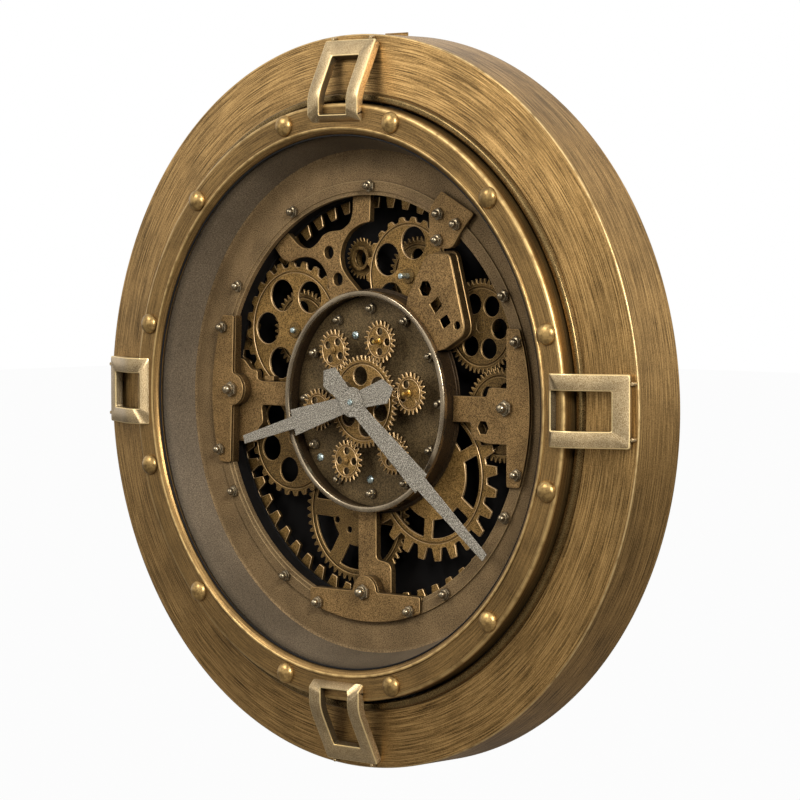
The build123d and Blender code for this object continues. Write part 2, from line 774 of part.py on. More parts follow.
# Centre wheel of the display train, which runs on the bushing
with BuildPart() as centre_wheel:
    with BuildSketch(facing(train_height)):
        with BuildLine():
            Polyline(*tooth_points(
                centre_teeth, centre_tip_radius, centre_root_radius, centre_first_angle, *pointed,
            ), close=True)
        make_face()
        centre_hole_radius, centre_hole_place_radius = at_share(centre_hole_shares, centre_pitch_radius)
        with PolarLocations(centre_hole_place_radius, centre_hole_count, start_angle=centre_hole_turn):
            RegularPolygon(centre_hole_radius, hole_sides, mode=Mode.SUBTRACT)
    extrude(amount=train_thickness)
    with BuildSketch(facing(nut_height + fit_gap)):
        RegularPolygon(centre_hub_radius, round_sides)
    extrude(amount=train_height + train_thickness + centre_hub_rise - nut_height - fit_gap)
    with BuildSketch(facing(nut_height)):
        RegularPolygon(bushing_radius + running_gap, round_sides, major_radius=False)
    extrude(amount=train_height, mode=Mode.SUBTRACT)
finish_piece(centre_wheel.part, "centre_wheel")


def make_small_wheel(number):
    """Small wheel of the train, turned so that its gap faces the centre wheel's nearest tooth."""
    place_angle = small_first_angle + number * 360 / small_count
    centre_pitch = 360 / centre_teeth
    nearest_tooth = round((place_angle - centre_first_angle) / centre_pitch) * centre_pitch + centre_first_angle
    lead = (nearest_tooth - place_angle) * centre_teeth / small_teeth
    gap_angle = place_angle + 180 - lead
    across, up = polar(train_distance, place_angle)
    with BuildPart() as wheel:
        with BuildSketch(Plane(origin=(across, -train_height, up), x_dir=(1, 0, 0), z_dir=(0, -1, 0))):
            with BuildLine():
                Polyline(*tooth_points(
                    small_teeth, small_tip_radius, small_root_radius, gap_angle + 180 / small_teeth, *pointed,
                ), close=True)
            make_face()
            RegularPolygon(pin_radius + running_gap, hole_sides, major_radius=False, mode=Mode.SUBTRACT)
        extrude(amount=train_thickness)
    finish_piece(wheel.part, f"small_wheel_{number + 1}")


for small_number in range(small_count):
    make_small_wheel(small_number)

# Posts of the small wheels: a six-sided pillar with a round pin
with BuildPart() as wheel_posts:
    with BuildSketch(facing(disc_height)):
        with PolarLocations(train_distance, small_count, start_angle=small_first_angle):
            RegularPolygon(post_radius, nut_sides)
    extrude(amount=train_height - fit_gap - disc_height)
    with BuildSketch(facing(train_height - fit_gap)):
        with PolarLocations(train_distance, small_count, start_angle=small_first_angle):
            Circle(pin_radius)
    extrude(amount=fit_gap + train_thickness + short_pin_rise)
    with BuildSketch(facing(train_height + train_thickness + short_pin_rise)):
        for number in range(long_pin_count):
            with Locations(polar(train_distance, small_first_angle + number * 360 / small_count)):
                RegularPolygon(pin_radius, nut_sides)
    extrude(amount=long_pin_rise - short_pin_rise)
finish_piece(wheel_posts.part, "wheel_posts")


def hand_outline(length, shares, tail_share):
    """Outline of a hand along +X: a broad blade, a step to the pointer and a short pointed tail."""
    upper = scaled(shares, length)
    lower = [(across, -up) for across, up in reversed(upper)]
    return upper + lower + [(-tail_share * length, 0)]


# Hour hand on its pipe
pipe_foot = bushing_height + fit_gap - movement_bore_depth + case_floor
with BuildPart() as hour_hand:
    with BuildSketch(facing(hour_level)):
        with BuildLine():
            Polyline(*hand_outline(hour_length, hour_shares, hour_tail_share), close=True)
        make_face()
        RegularPolygon(hand_hub_radius, 2 * round_sides)
    extrude(amount=hand_thickness)
    with BuildSketch(facing(bushing_height + fit_gap)):
        RegularPolygon(collet_radius, round_sides)
    extrude(amount=hour_level - bushing_height - fit_gap)
    with BuildSketch(facing(pipe_foot)):
        RegularPolygon(pipe_radius, round_sides)
    extrude(amount=bushing_height + fit_gap - pipe_foot)
    with BuildSketch(facing(0)):
        RegularPolygon(shaft_radius + running_gap, round_sides, major_radius=False)
    extrude(amount=minute_level, mode=Mode.SUBTRACT)
finish_piece(hour_hand.part.rotate(Axis.Y, -hour_angle), "hour_hand")

# Minute hand on its shaft
with BuildPart() as minute_hand:
    with BuildSketch(facing(minute_level)):
        with BuildLine():
            Polyline(*hand_outline(minute_length, minute_shares, minute_tail_share), close=True)
        make_face()
        RegularPolygon(hand_hub_radius, 2 * round_sides)
    extrude(amount=hand_thickness)
    with BuildSketch(facing(minute_level - hand_gap + fit_gap)):
        RegularPolygon(pipe_radius, round_sides)
    extrude(amount=hand_gap - fit_gap)
    with BuildSketch(facing(pipe_foot)):
        RegularPolygon(shaft_radius, round_sides)
    extrude(amount=minute_level - pipe_foot)
finish_piece(minute_hand.part.rotate(Axis.Y, -minute_angle), "minute_hand")

# Cap on the hands
with BuildPart() as hand_cap:
    with BuildSketch(facing(minute_level + hand_thickness)):
        RegularPolygon(cap_radius, round_sides)
    extrude(amount=cap_rise)
finish_piece(hand_cap.part, "hand_cap")
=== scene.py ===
# %% [markdown]
# # A gear wall clock in Blender
# The clock hangs on a wall and is 612 mm across. A spun case carries a riveted bezel with four
# bent latches. Behind its glass lie a dial ring, a dark well full of toothed wheels and a round
# drum with a small gear train and two hands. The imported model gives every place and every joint.
# Each cell below dresses one piece of it with a finer surface and a finish made of nodes.

import math

import bmesh
import bpy
import numpy as np
from mathutils import Matrix, Vector


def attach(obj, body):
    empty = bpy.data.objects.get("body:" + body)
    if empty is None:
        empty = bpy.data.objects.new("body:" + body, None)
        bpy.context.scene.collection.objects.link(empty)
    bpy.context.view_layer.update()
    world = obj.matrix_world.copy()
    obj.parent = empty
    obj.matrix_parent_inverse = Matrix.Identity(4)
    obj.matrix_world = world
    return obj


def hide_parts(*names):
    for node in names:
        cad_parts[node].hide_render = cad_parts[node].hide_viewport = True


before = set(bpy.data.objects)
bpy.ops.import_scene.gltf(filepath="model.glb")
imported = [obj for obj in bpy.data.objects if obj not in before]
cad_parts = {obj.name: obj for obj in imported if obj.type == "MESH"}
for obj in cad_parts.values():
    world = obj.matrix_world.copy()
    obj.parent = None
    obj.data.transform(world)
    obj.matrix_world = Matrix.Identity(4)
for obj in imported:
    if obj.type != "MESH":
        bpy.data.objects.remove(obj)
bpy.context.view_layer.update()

# %% [markdown]
# ## Writing a surface into a mesh
# All shapes are worked out in millimetres as (x, height, z), where the height is counted from the
# wall towards the viewer. Blender wants metres with the clock facing -Y, so one function turns the
# numbers over. It merges points that fall together, such as those at a pole, and lets the faces
# look outwards. Edges sharper than 35 degrees stay crisp.

# %% A mesh from points and faces
MM = 0.001
CRISP = math.radians(35)


def make_piece(name, parts, material, body="case", stands_for=()):
    """Mesh from (points, faces, wear) parts: a point (x, height, z) in mm lands at (x, -height, z) / 1000.

    One number per face: 1 on an edge that is rubbed bright, -1 on a cut side that the finishes darken as
    painted shade, 0 elsewhere.
    """
    points, faces, wear_and_shade, start = [], [], [], 0
    for part_points, part_faces, part_wear_and_shade in parts:
        points.append(np.asarray(part_points, float))
        wear_and_shade.append(np.broadcast_to(np.asarray(part_wear_and_shade, float), (len(part_faces),)))
        faces.extend((np.asarray(face) + start).tolist() for face in part_faces)
        start += len(part_points)
    points = np.concatenate(points) * MM
    points[:, 1] *= -1
    mesh = bpy.data.meshes.new(name)
    mesh.from_pydata(points.tolist(), [], faces)
    mesh.attributes.new("wear_and_shade", "FLOAT", "FACE").data.foreach_set("value", np.concatenate(wear_and_shade))
    shape = bmesh.new()
    shape.from_mesh(mesh)
    bmesh.ops.remove_doubles(shape, verts=shape.verts, dist=2e-6)
    bmesh.ops.recalc_face_normals(shape, faces=shape.faces)
    shape.to_mesh(mesh)
    shape.free()
    mesh.shade_smooth()
    mesh.set_sharp_from_angle(angle=CRISP)
    mesh.materials.append(material)
    piece = bpy.data.objects.new(name, mesh)
    bpy.context.scene.collection.objects.link(piece)
    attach(piece, body)
    if stands_for:
        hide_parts(*stands_for)
    return piece


def grid_faces(rows, columns, wrap_rows=False, wrap_columns=True):
    """Four-sided faces of a grid: each cell joins a point with its neighbours along both directions."""
    row = np.arange(rows if wrap_rows else rows - 1)
    column = np.arange(columns if wrap_columns else columns - 1)
    low, left = np.meshgrid(row, column, indexing="ij")
    high, right = (low + 1) % rows, (left + 1) % columns
    return np.stack(
        [low * columns + left, low * columns + right, high * columns + right, high * columns + left], -1
    ).reshape(-1, 4)


# %% [markdown]
# ## Two ways to make metal parts
# Most of the clock is either turned on a lathe or cut from flat sheet. A turned piece is a profile
# of radius and height carried round an axis. A cut piece is an outline with holes, given a thickness
# and a narrow bevel, which catches the light as a real sheared and tumbled edge does. Blender's own
# filled curve closes such an outline cleanly, however many teeth and holes it has.

# %% Turned pieces and rounded corners
def rounded(corners, cuts, steps=5, closed=True):
    """Path through corners; each is replaced by the parabola from a cut before it to the same cut after it.

    One more point stands half a cut further out on both sides, so that the flats beside a corner stay flat.
    """
    corners = np.asarray(corners, float)
    cuts = np.broadcast_to(np.asarray(cuts, float), (len(corners),))
    before = np.roll(corners, 1, axis=0) - corners
    after = np.roll(corners, -1, axis=0) - corners
    reach = []
    for leg in (before, after):
        length = np.maximum(np.linalg.norm(leg, axis=1, keepdims=True), 1e-9)
        reach.append(leg / length * np.minimum(cuts[:, None], 0.33 * length))
    t = np.linspace(0, 1, steps)[None, :, None]
    start, end = (corners + reach[0])[:, None, :], (corners + reach[1])[:, None, :]
    middle = corners[:, None, :]
    arcs = (1 - t) ** 2 * start + 2 * t * (1 - t) * middle + t ** 2 * end
    arcs = np.concatenate([1.5 * start - 0.5 * middle, arcs, 1.5 * end - 0.5 * middle], 1)
    worn = (cuts > 0)[:, None] * np.concatenate([[0], np.sin(math.pi * t[0, :, 0]), [0]])[None, :]
    keep = np.ones((len(corners), steps + 2), bool)
    keep[cuts <= 0, 1:] = False
    if not closed:
        keep[[0, -1], 1:] = False
        arcs[0, 0], arcs[-1, 0] = corners[0], corners[-1]
    return arcs[keep], worn[keep]


def turned(profile, wear_and_shade=0.0, segments=160, centre=(0, 0), closed=True):
    """Profile (radius, height) carried round an axis: x and z are radius times cosine and sine."""
    profile = np.asarray(profile, float)
    angle = np.linspace(0, 2 * math.pi, segments, endpoint=False)
    x = centre[0] + profile[:, :1] * np.cos(angle)
    z = centre[1] + profile[:, :1] * np.sin(angle)
    height = np.repeat(profile[:, 1:], segments, axis=1)
    points = np.stack([x, height, z], -1).reshape(-1, 3)
    wear_and_shade = np.broadcast_to(np.asarray(wear_and_shade, float), (len(profile),))
    between = (wear_and_shade + np.roll(wear_and_shade, -1)) / 2
    return (points, grid_faces(len(profile), segments, wrap_rows=closed),
            np.repeat(between if closed else between[:-1], segments))


def knob(profile, centre, foot=0.0, segments=20, turn=0.0, sides=0):
    """Small turned or many-sided part on the axis through a centre, standing on a height.

    With sides, the radius at an angle is divided by the cosine of its distance from the flat's middle,
    which makes a nut; with none it stays round.
    """
    profile = np.asarray(profile, float)
    angle = np.linspace(0, 2 * math.pi, segments, endpoint=False)
    spread = np.ones_like(angle)
    if sides:
        half = math.pi / sides
        spread = 1 / np.cos((angle + half) % (2 * half) - half)
    x = centre[0] + profile[:, :1] * spread * np.cos(angle + turn)
    z = centre[1] + profile[:, :1] * spread * np.sin(angle + turn)
    height = foot + np.repeat(profile[:, 1:], segments, axis=1)
    points = np.stack([x, height, z], -1).reshape(-1, 3)
    return points, grid_faces(len(profile), segments), 0.0


print("a rounded square has", len(rounded([(0, 0), (9, 0), (9, 9), (0, 9)], 1)[0]), "points")

# %% [markdown]
# ## Outlines and flat plates
# A stamped plate is an outline with holes and a thickness. A two-dimensional Blender curve fills such
# an outline and bevels its edges. It is made a mesh at once, so nothing but points and faces is kept.
# A face on the cut side gets -1, which the finishes turn into painted shade, and one on the bevel 1, for a
# rubbed edge.

# %% Cut pieces
def circle(radius, centre=(0, 0), count=48):
    """Points round a centre at one radius."""
    angle = np.linspace(0, 2 * math.pi, count, endpoint=False)
    return np.stack([centre[0] + radius * np.cos(angle), centre[1] + radius * np.sin(angle)], -1)


def polar(radius, angle, centre=(0, 0)):
    """Point at a radius and an angle in degrees from a centre."""
    turn = math.radians(angle)
    return np.array([centre[0] + radius * math.cos(turn), centre[1] + radius * math.sin(turn)])


def turn_points(points, angle):
    """Points turned about the clock's axis, in degrees from +X towards +Z."""
    cosine, sine = math.cos(math.radians(angle)), math.sin(math.radians(angle))
    return np.asarray(points) @ np.array([[cosine, sine], [-sine, cosine]])


def plate(outline, holes, low, high, bevel=0.25):
    """Filled outline with holes between two heights, its edges bevelled inwards by one size."""
    curve = bpy.data.curves.new("outline", "CURVE")
    curve.dimensions, curve.fill_mode = "2D", "BOTH"
    curve.extrude, curve.bevel_depth = (high - low) / 2 - bevel, bevel
    curve.bevel_resolution, curve.offset = 0, -bevel
    for number, loop in enumerate([outline, *holes]):
        loop = np.asarray(loop, float)
        area = np.sum(loop[:, 0] * np.roll(loop[:, 1], -1) - loop[:, 1] * np.roll(loop[:, 0], -1))
        if (area < 0) != (number > 0):
            loop = loop[::-1]
        spline = curve.splines.new("POLY")
        spline.points.add(len(loop) - 1)
        flat = np.concatenate([loop, np.zeros((len(loop), 1)), np.ones((len(loop), 1))], axis=1)
        spline.points.foreach_set("co", flat.ravel())
        spline.use_cyclic_u = True
    holder = bpy.data.objects.new("outline", curve)
    mesh = bpy.data.meshes.new_from_object(holder)
    local = np.empty(len(mesh.vertices) * 3)
    mesh.vertices.foreach_get("co", local)
    local = local.reshape(-1, 3)
    points = np.stack([local[:, 0], (low + high) / 2 + local[:, 2], local[:, 1]], -1)
    faces = [tuple(face.vertices) for face in mesh.polygons]
    bpy.data.objects.remove(holder)
    bpy.data.curves.remove(curve)
    bpy.data.meshes.remove(mesh)
    side = np.abs(local[:, 2]) < (high - low) / 2 - bevel / 2
    count = np.array([len(face) for face in faces])
    first = np.concatenate([[0], np.cumsum(count)[:-1]])
    share = np.add.reduceat(side[np.concatenate(faces)].astype(float), first) / count
    return points, faces, np.where(share == 1, -1.0, (share > 0) * 1.0)


print("faces of a round plate:", len(plate(circle(10), [circle(4)], 0, 2)[1]))


# %% [markdown]
# ## Finishes
# The real clock is sheet metal with a bronze colour that was brushed through by hand, so bright
# brass shows along the strokes and edges; corners and cut sides get painted shade. Its wheels are
# a paler tan brass, the plates a darker bronze with a fine grain, and the hands a speckled silver grey.
# Strokes that follow the ring are noise read in (radius, cosine, sine), so they close without a seam.

# %% Colours and nodes
def linear(code, alpha=1.0):
    """sRGB hex colour as linear light: values over 0.04045 follow the power 2.4, the rest a straight line."""
    values = np.array([int(code[i:i + 2], 16) / 255 for i in (1, 3, 5)])
    values = np.where(values > 0.04045, ((values + 0.055) / 1.055) ** 2.4, values / 12.92)
    return (*values.tolist(), alpha)


def add(tree, kind, settings=None, inputs=None, stops=()):
    """One node with its settings; an input is a value, or a socket to link from.

    A stop of a ramp is a place and a hex colour. The first two take over the ramp's own two.
    """
    node = tree.nodes.new(kind)
    for key, value in (settings or {}).items():
        setattr(node, key, value)
    for key, value in (inputs or {}).items():
        if isinstance(value, bpy.types.NodeSocket):
            tree.links.new(value, node.inputs[key])
        else:
            node.inputs[key].default_value = value
    for number, (place, code) in enumerate(stops):
        elements = node.color_ramp.elements
        element = elements[number] if number < len(elements) else elements.new(place)
        element.position, element.color = place, linear(code)
    return node


def new_material(name, metallic=0.0, roughness=0.5):
    """Empty material with its tree and its shader."""
    material = bpy.data.materials.new(name)
    material.use_nodes = True
    shader = material.node_tree.nodes["Principled BSDF"]
    shader.inputs["Metallic"].default_value = metallic
    shader.inputs["Roughness"].default_value = roughness
    return material, material.node_tree, shader


print("white is", linear("#ffffff"))

# %% [markdown]
# ## Patterns measured in millimetres
# A brushed ring and a tumbled plate differ only in how their noise is stretched. Both patterns read
# Object coordinates, which are metres on the real clock, so a scale in grains per millimetre is
# divided by 0.001. Height is taken from the radius, so strokes also run round the upright band.

# %% Patterns
def ring_strokes(tree, per_mm, around, seed=0.0):
    """Noise read at (strokes per mm times radius and depth, around times cosine, around times sine)."""
    place = add(tree, "ShaderNodeTexCoord").outputs["Object"]
    axes = add(tree, "ShaderNodeSeparateXYZ", inputs={0: place}).outputs
    flat = add(tree, "ShaderNodeCombineXYZ", inputs={0: axes[0], 1: axes[2]}).outputs[0]
    radius = add(tree, "ShaderNodeVectorMath", {"operation": "LENGTH"}, {0: flat}).outputs["Value"]
    unit = add(tree, "ShaderNodeVectorMath", {"operation": "NORMALIZE"}, {0: flat}).outputs["Vector"]
    across = add(tree, "ShaderNodeMath", {"operation": "SUBTRACT"}, {0: radius, 1: axes[1]}).outputs[0]
    across = add(tree, "ShaderNodeMath", {"operation": "MULTIPLY_ADD"},
                 {0: across, 1: per_mm / MM, 2: seed}).outputs[0]
    unit = add(tree, "ShaderNodeSeparateXYZ", inputs={0: unit}).outputs
    turn = [add(tree, "ShaderNodeMath", {"operation": "MULTIPLY"}, {0: unit[i], 1: around}).outputs[0]
            for i in (0, 1)]
    vector = add(tree, "ShaderNodeCombineXYZ", inputs={0: across, 1: turn[0], 2: turn[1]}).outputs[0]
    return add(tree, "ShaderNodeTexNoise",
               inputs={"Vector": vector, "Scale": 1.0, "Detail": 3.0, "Roughness": 0.6}).outputs["Fac"]


def spots(tree, per_mm, detail=2.0, roughness=0.5):
    """Even noise with a number of grains per mm."""
    place = add(tree, "ShaderNodeTexCoord").outputs["Object"]
    return add(tree, "ShaderNodeTexNoise", inputs={"Vector": place, "Scale": per_mm / MM, "Detail": detail,
                                                   "Roughness": roughness}).outputs["Fac"]


def darkened(tree, colour, source, low, high, least, most=1.0):
    """Colour times a grey that goes from least to most while the source goes from low to high."""
    share = add(tree, "ShaderNodeMapRange", inputs={0: source, 1: low, 2: high, 3: least, 4: most}).outputs[0]
    grey = add(tree, "ShaderNodeCombineColor", inputs={0: share, 1: share, 2: share}).outputs[0]
    return add(tree, "ShaderNodeMix", {"data_type": "RGBA", "blend_type": "MULTIPLY"},
               {0: 1.0, 6: colour, 7: grey}).outputs[2]


def dressed(tree, shader, colour, pattern, low, high, rough_low, rough_high, depth_mm, strength):
    """Colour, roughness and bump of one pattern, linked to the shader; the bump's depth is in mm."""
    rough = add(tree, "ShaderNodeMapRange", inputs={0: pattern, 1: low, 2: high, 3: rough_low, 4: rough_high})
    relief = add(tree, "ShaderNodeBump",
                 inputs={"Height": pattern, "Distance": depth_mm * MM, "Strength": strength})
    tree.links.new(colour, shader.inputs["Base Color"])
    tree.links.new(rough.outputs[0], shader.inputs["Roughness"])
    tree.links.new(relief.outputs["Normal"], shader.inputs["Normal"])


GRAINS_PER_MM = 1.1
print("grain size:", round(1 / GRAINS_PER_MM, 2), "mm")

# %% [markdown]
# ## Brushed bronze for case and bezel
# Sheet coloured as bronze, then brushed round the ring: on the real clock the strokes are a fraction
# of a millimetre wide, with dark grain between them and darker wax patches a few centimetres across.
# The strokes are drawn about 0.6 mm and the grain 0.9 mm wide, because finer ones don't show in the
# render. Strokes and grain are added first, so one ramp gives both their colours.

# %% Brushed bronze
STROKES_PER_MM, STROKES_AROUND = 1.7, 7.0
STROKE_SHARE, PATCHES_PER_MM, RUBS_PER_MM = 0.7, 0.02, 0.12


def brushed_bronze(name, dark, middle, bright, edge, roughness=0.42, seed=0.0):
    """Bronze brushed round the ring: strokes and grain by shares, times wax patches, bright where worn,
    painted shade where marked below 0.
    """
    material, tree, shader = new_material(name, metallic=0.85, roughness=roughness)
    strokes = add(tree, "ShaderNodeMath", {"operation": "MULTIPLY"},
                  {0: ring_strokes(tree, STROKES_PER_MM, STROKES_AROUND, seed), 1: STROKE_SHARE}).outputs[0]
    both = add(tree, "ShaderNodeMath", {"operation": "MULTIPLY_ADD"},
               {0: spots(tree, GRAINS_PER_MM, 2.0, 0.75), 1: 1 - STROKE_SHARE, 2: strokes}).outputs[0]
    colour = add(tree, "ShaderNodeValToRGB", inputs={"Fac": both},
                 stops=[(0.38, dark), (0.62, bright), (0.50, middle)]).outputs["Color"]
    colour = darkened(tree, colour, spots(tree, PATCHES_PER_MM, 3.0, 0.6), 0.34, 0.56, 0.74)
    wear_and_shade = add(tree, "ShaderNodeAttribute", {"attribute_name": "wear_and_shade"}).outputs["Fac"]
    rub = add(tree, "ShaderNodeMapRange",
              inputs={0: spots(tree, RUBS_PER_MM, 3.0), 1: 0.35, 2: 0.55, 3: 0.35, 4: 1.0}).outputs[0]
    rub = add(tree, "ShaderNodeMath", {"operation": "MULTIPLY", "use_clamp": True},
              {0: wear_and_shade, 1: rub}).outputs[0]
    colour = add(tree, "ShaderNodeMix", {"data_type": "RGBA"},
                 {0: rub, 6: colour, 7: linear(edge)}).outputs[2]
    # Painted shade: faces marked below 0, such as the bezel's skirt, are darkened down to half brightness.
    colour = darkened(tree, colour, wear_and_shade, -1.0, 0.0, 0.5)
    dressed(tree, shader, colour, both, 0.35, 0.65, roughness + 0.12, roughness - 0.04, 0.10, 0.5)
    return material


# Spun sheet, plated bronze and brushed by hand: golden strokes over dark brown, with pale worn edges.
case_bronze = brushed_bronze("brushed_bronze_case", "#4a3619", "#9a7846", "#cda568", "#d2b580")
# The same plating with less wax and a softer brush: a calmer brown that shines a little more.
bezel_bronze = brushed_bronze("brushed_bronze_bezel", "#5c4525", "#8a6c40", "#ab8750", "#c9a86e",
                              roughness=0.38, seed=31.0)
print("brushed finishes:", case_bronze.name, bezel_bronze.name)

# %% [markdown]
# ## Sheet and cast parts with an even grain
# The plates, wheels and studs are plated and then tumbled, so their grain has no direction. A fine
# speckle, a slow change of tone over a few centimetres and a little bump give each its satin look.
# Corners get painted shade: an ambient occlusion node finds those that are closer than 7 mm and darkens
# them. Cut sides get painted shade as well.

# %% Tumbled finish
CORNER_REACH_MM = 7


def grained_metal(name, dark, bright, metallic, roughness, grain=GRAINS_PER_MM, depth=0.015, edge=None,
                  slow=0.03, side=0.3, gloss=0.2, corner_shade=0.35):
    """Speckle of two colours, times a slow tone, painted shade on cut sides and in corners (scales per mm).
    """
    material, tree, shader = new_material(name, metallic, roughness)
    shader.inputs["Specular IOR Level"].default_value = gloss
    speckle = spots(tree, grain, 2.0, 0.75)
    colour = add(tree, "ShaderNodeValToRGB", inputs={"Fac": speckle},
                 stops=[(0.38, dark), (0.62, bright)]).outputs["Color"]
    colour = darkened(tree, colour, spots(tree, slow), 0.35, 0.65, 0.8, 1.15)
    wear_and_shade = add(tree, "ShaderNodeAttribute", {"attribute_name": "wear_and_shade"}).outputs["Fac"]
    if edge:
        rubbed = add(tree, "ShaderNodeMapRange", inputs={0: wear_and_shade}).outputs[0]
        colour = add(tree, "ShaderNodeMix", {"data_type": "RGBA"},
                     {0: rubbed, 6: colour, 7: linear(edge)}).outputs[2]
    # Painted shade on cut sides: faces marked -1 are darkened down to the share given as side.
    colour = darkened(tree, colour, wear_and_shade, -1.0, 0.0, side)
    # Painted shade in corners: an ambient occlusion node darkens what lies within CORNER_REACH_MM of other
    # surfaces.
    if corner_shade < 1:
        corner = add(tree, "ShaderNodeAmbientOcclusion", {"samples": 8}, {"Distance": CORNER_REACH_MM * MM})
        colour = darkened(tree, colour, corner.outputs["AO"], 0.25, 0.85, corner_shade)
    dressed(tree, shader, colour, speckle, 0.3, 0.7, roughness - 0.06, roughness + 0.08, depth, 0.6)
    return material


print("corners are found within", CORNER_REACH_MM, "mm")

# %% [markdown]
# ## Bronze and brass of the works
# All these parts were plated alike, but wax, tumbling and handling differ, and that is what tells
# them apart: plates are darker than wheels, wheels in the back duller than those in front.

# %% Bronze and brass
# Stamped plate, bronze plated and tumbled: warm brown satin with 0.9 mm grains and paler sheared edges.
plate_bronze = grained_metal("tumbled_bronze_plate", "#513c20", "#a68454", 0.6, 0.44, edge="#9f8053")
# The drum's floor, turned and waxed: the same grain, darker and flatter, so that the train stands out.
disc_bronze = grained_metal("satin_bronze_disc", "#3d311f", "#7a6544", 0.55, 0.46)
# Front wheels, stamped brass: lighter tan with the palest edges of all, along every tooth.
gear_brass = grained_metal("tumbled_tan_brass", "#503a19", "#ab864d", 0.6, 0.43, edge="#cba878", side=0.2)
# Rear wheels, the same brass with more wax left on: duller and less shiny.
rear_brass = grained_metal("dull_brass_rear_wheels", "#3c2c15", "#86693c", 0.55, 0.46, edge="#b08e5c",
                           side=0.2)
# Cast latches, polished by the hand that opens them: pale gold with a fine 0.6 mm grain.
latch_bronze = grained_metal("cast_bronze_latch", "#8a6f46", "#d2bb92", 0.8, 0.36, grain=1.6, depth=0.01,
                             edge="#e6cc94", corner_shade=0.4)
# Rivet heads, cold headed and buffed: nearly even gold, with patches 4 mm across and a soft highlight.
rivet_bronze = grained_metal("cast_bronze_rivet", "#8a6e43", "#b5945c", 0.85, 0.34, grain=0.25, depth=0.01)
# The drum's spun wall, waxed almost black: its dark side sets off the bright rim.
drum_bronze = grained_metal("dark_bronze_drum", "#231a10", "#4a3925", 0.6, 0.40)
# The drum's rolled rim, polished: smooth grey bronze with no grain, only a tone that drifts over 50 mm.
rim_steel = grained_metal("polished_bronze_rim", "#8d7d66", "#ab9a7f", 0.95, 0.24, grain=0.02, depth=0.0,
                          corner_shade=1.0)
# The case's rolled lip, rubbed by the bezel: greyer than the case, with a tight shine.
worn_lip = grained_metal("worn_grey_lip", "#544426", "#8a7149", 0.9, 0.27, grain=1.6, slow=0.05, depth=0.0)
# Turned brass pins, left bare: small yellow sparks.
pin_brass = grained_metal("bright_brass_pins", "#a9853f", "#dcb867", 0.95, 0.25, corner_shade=1.0)
print("finishes so far:", len(bpy.data.materials))

# %% [markdown]
# ## Steel, paint, rubber and plastic
# The studs are browned steel and the few screws zinc plated, so a screw looks bluish beside a stud.
# The dial pan is painted and not plated, so it is hardly metallic: its grain is flake in the paint.

# %% Steel, paint and rubber
# Turned steel studs, chemically browned: painted shade in the nut's corners, a hard small highlight on the
# ball.
stud_steel = grained_metal("browned_steel_studs", "#655845", "#a39478", 0.9, 0.28, grain=1.8, depth=0.0,
                           corner_shade=0.6)
# Zinc plated screws and nuts: cool silver, the only bluish metal on the clock.
screw_steel = grained_metal("zinc_plated_screws", "#8fa09a", "#cfdad6", 0.9, 0.25, corner_shade=1.0)
# Sprayed bronze paint on the dial ring: matt, grainy, with rubbed edges.
dial_paint = grained_metal("bronze_paint_dial", "#524029", "#8f7653", 0.3, 0.52, edge="#a68c62", gloss=0.12)
# The same paint with more grey on the pan's wall, with clouds 80 mm across where the spray overlapped.
wall_paint = grained_metal("grey_bronze_paint_wall", "#4c4134", "#736551", 0.15, 0.5, slow=0.012,
                           gloss=0.12, corner_shade=0.45)
# Matt black in the well, brushed on: swallows light, so that the teeth stand before it.
well_black = grained_metal("black_wax_well", "#080706", "#120f0d", 0.0, 0.7, depth=0.01, gloss=0.1, corner_shade=1.0)
# Extruded rubber round the glass: a thin dull black line.
gasket_black = grained_metal("black_rubber_gasket", "#0d0c0b", "#161413", 0.0, 0.62, depth=0.01, corner_shade=1.0)
# Rolled aluminium sheet of the back, left bare: cool grey with faint clouds over 17 cm.
case_inside = grained_metal("mill_finish_aluminium", "#8d8d8b", "#a9a9a6", 0.9, 0.42, slow=0.006, depth=0.01,
                            corner_shade=1.0)
# Moulded ABS of the movement: black with a fine 0.5 mm mould grain.
movement_black = grained_metal("black_moulded_abs", "#121212", "#1f1f1f", 0.0, 0.5, grain=2.0)
# Plain shrunk sleeve on the cell: smooth dark grey.
cell_steel = grained_metal("wrapped_cell", "#202224", "#33363a", 0.3, 0.35)
print("finishes so far:", len(bpy.data.materials))

# %% [markdown]
# ## Sprayed silver for the hands
# The hands must be read against all that bronze, so they are sprayed silver grey and left rough. The
# paint is full of dark and light specks of about 0.9 mm, which four colours in one ramp give.

# %% Speckled silver
def speckled_silver(name):
    """Even noise through four greys, with a bump of 0.03 mm for the paint's grain."""
    material, tree, shader = new_material(name, metallic=0.25, roughness=0.5)
    grain = spots(tree, GRAINS_PER_MM, 2.0, 0.8)
    colour = add(tree, "ShaderNodeValToRGB", inputs={"Fac": grain},
                 stops=[(0.36, "#332d26"), (0.64, "#d5cdbc"), (0.46, "#726a5c"), (0.54, "#988f7e")])
    relief = add(tree, "ShaderNodeBump", inputs={"Height": grain, "Distance": 0.03 * MM, "Strength": 0.6})
    tree.links.new(colour.outputs["Color"], shader.inputs["Base Color"])
    tree.links.new(relief.outputs["Normal"], shader.inputs["Normal"])
    return material


# Laser-cut sheet, sprayed with speckled silver paint: matt grey with dark and light specks.
hand_silver = speckled_silver("sprayed_silver_hands")
print("hands:", hand_silver.name)

# %% [markdown]
# ## Clear glass
# Coated float glass hardly mirrors anything from the front, but does at a flat angle. A refracting
# shader would choose between the two at random and leave pale dots over the dark well. So the sheet
# doesn't bend light, and a mirror is mixed in by the Fresnel share beyond 9 %, on the outer face
# only: at the inner face that share is full beyond 44 degrees. Lamp light passes straight through.

# %% Glass
FLOAT_GLASS_IOR, COATED_SHARE = 1.45, 0.09


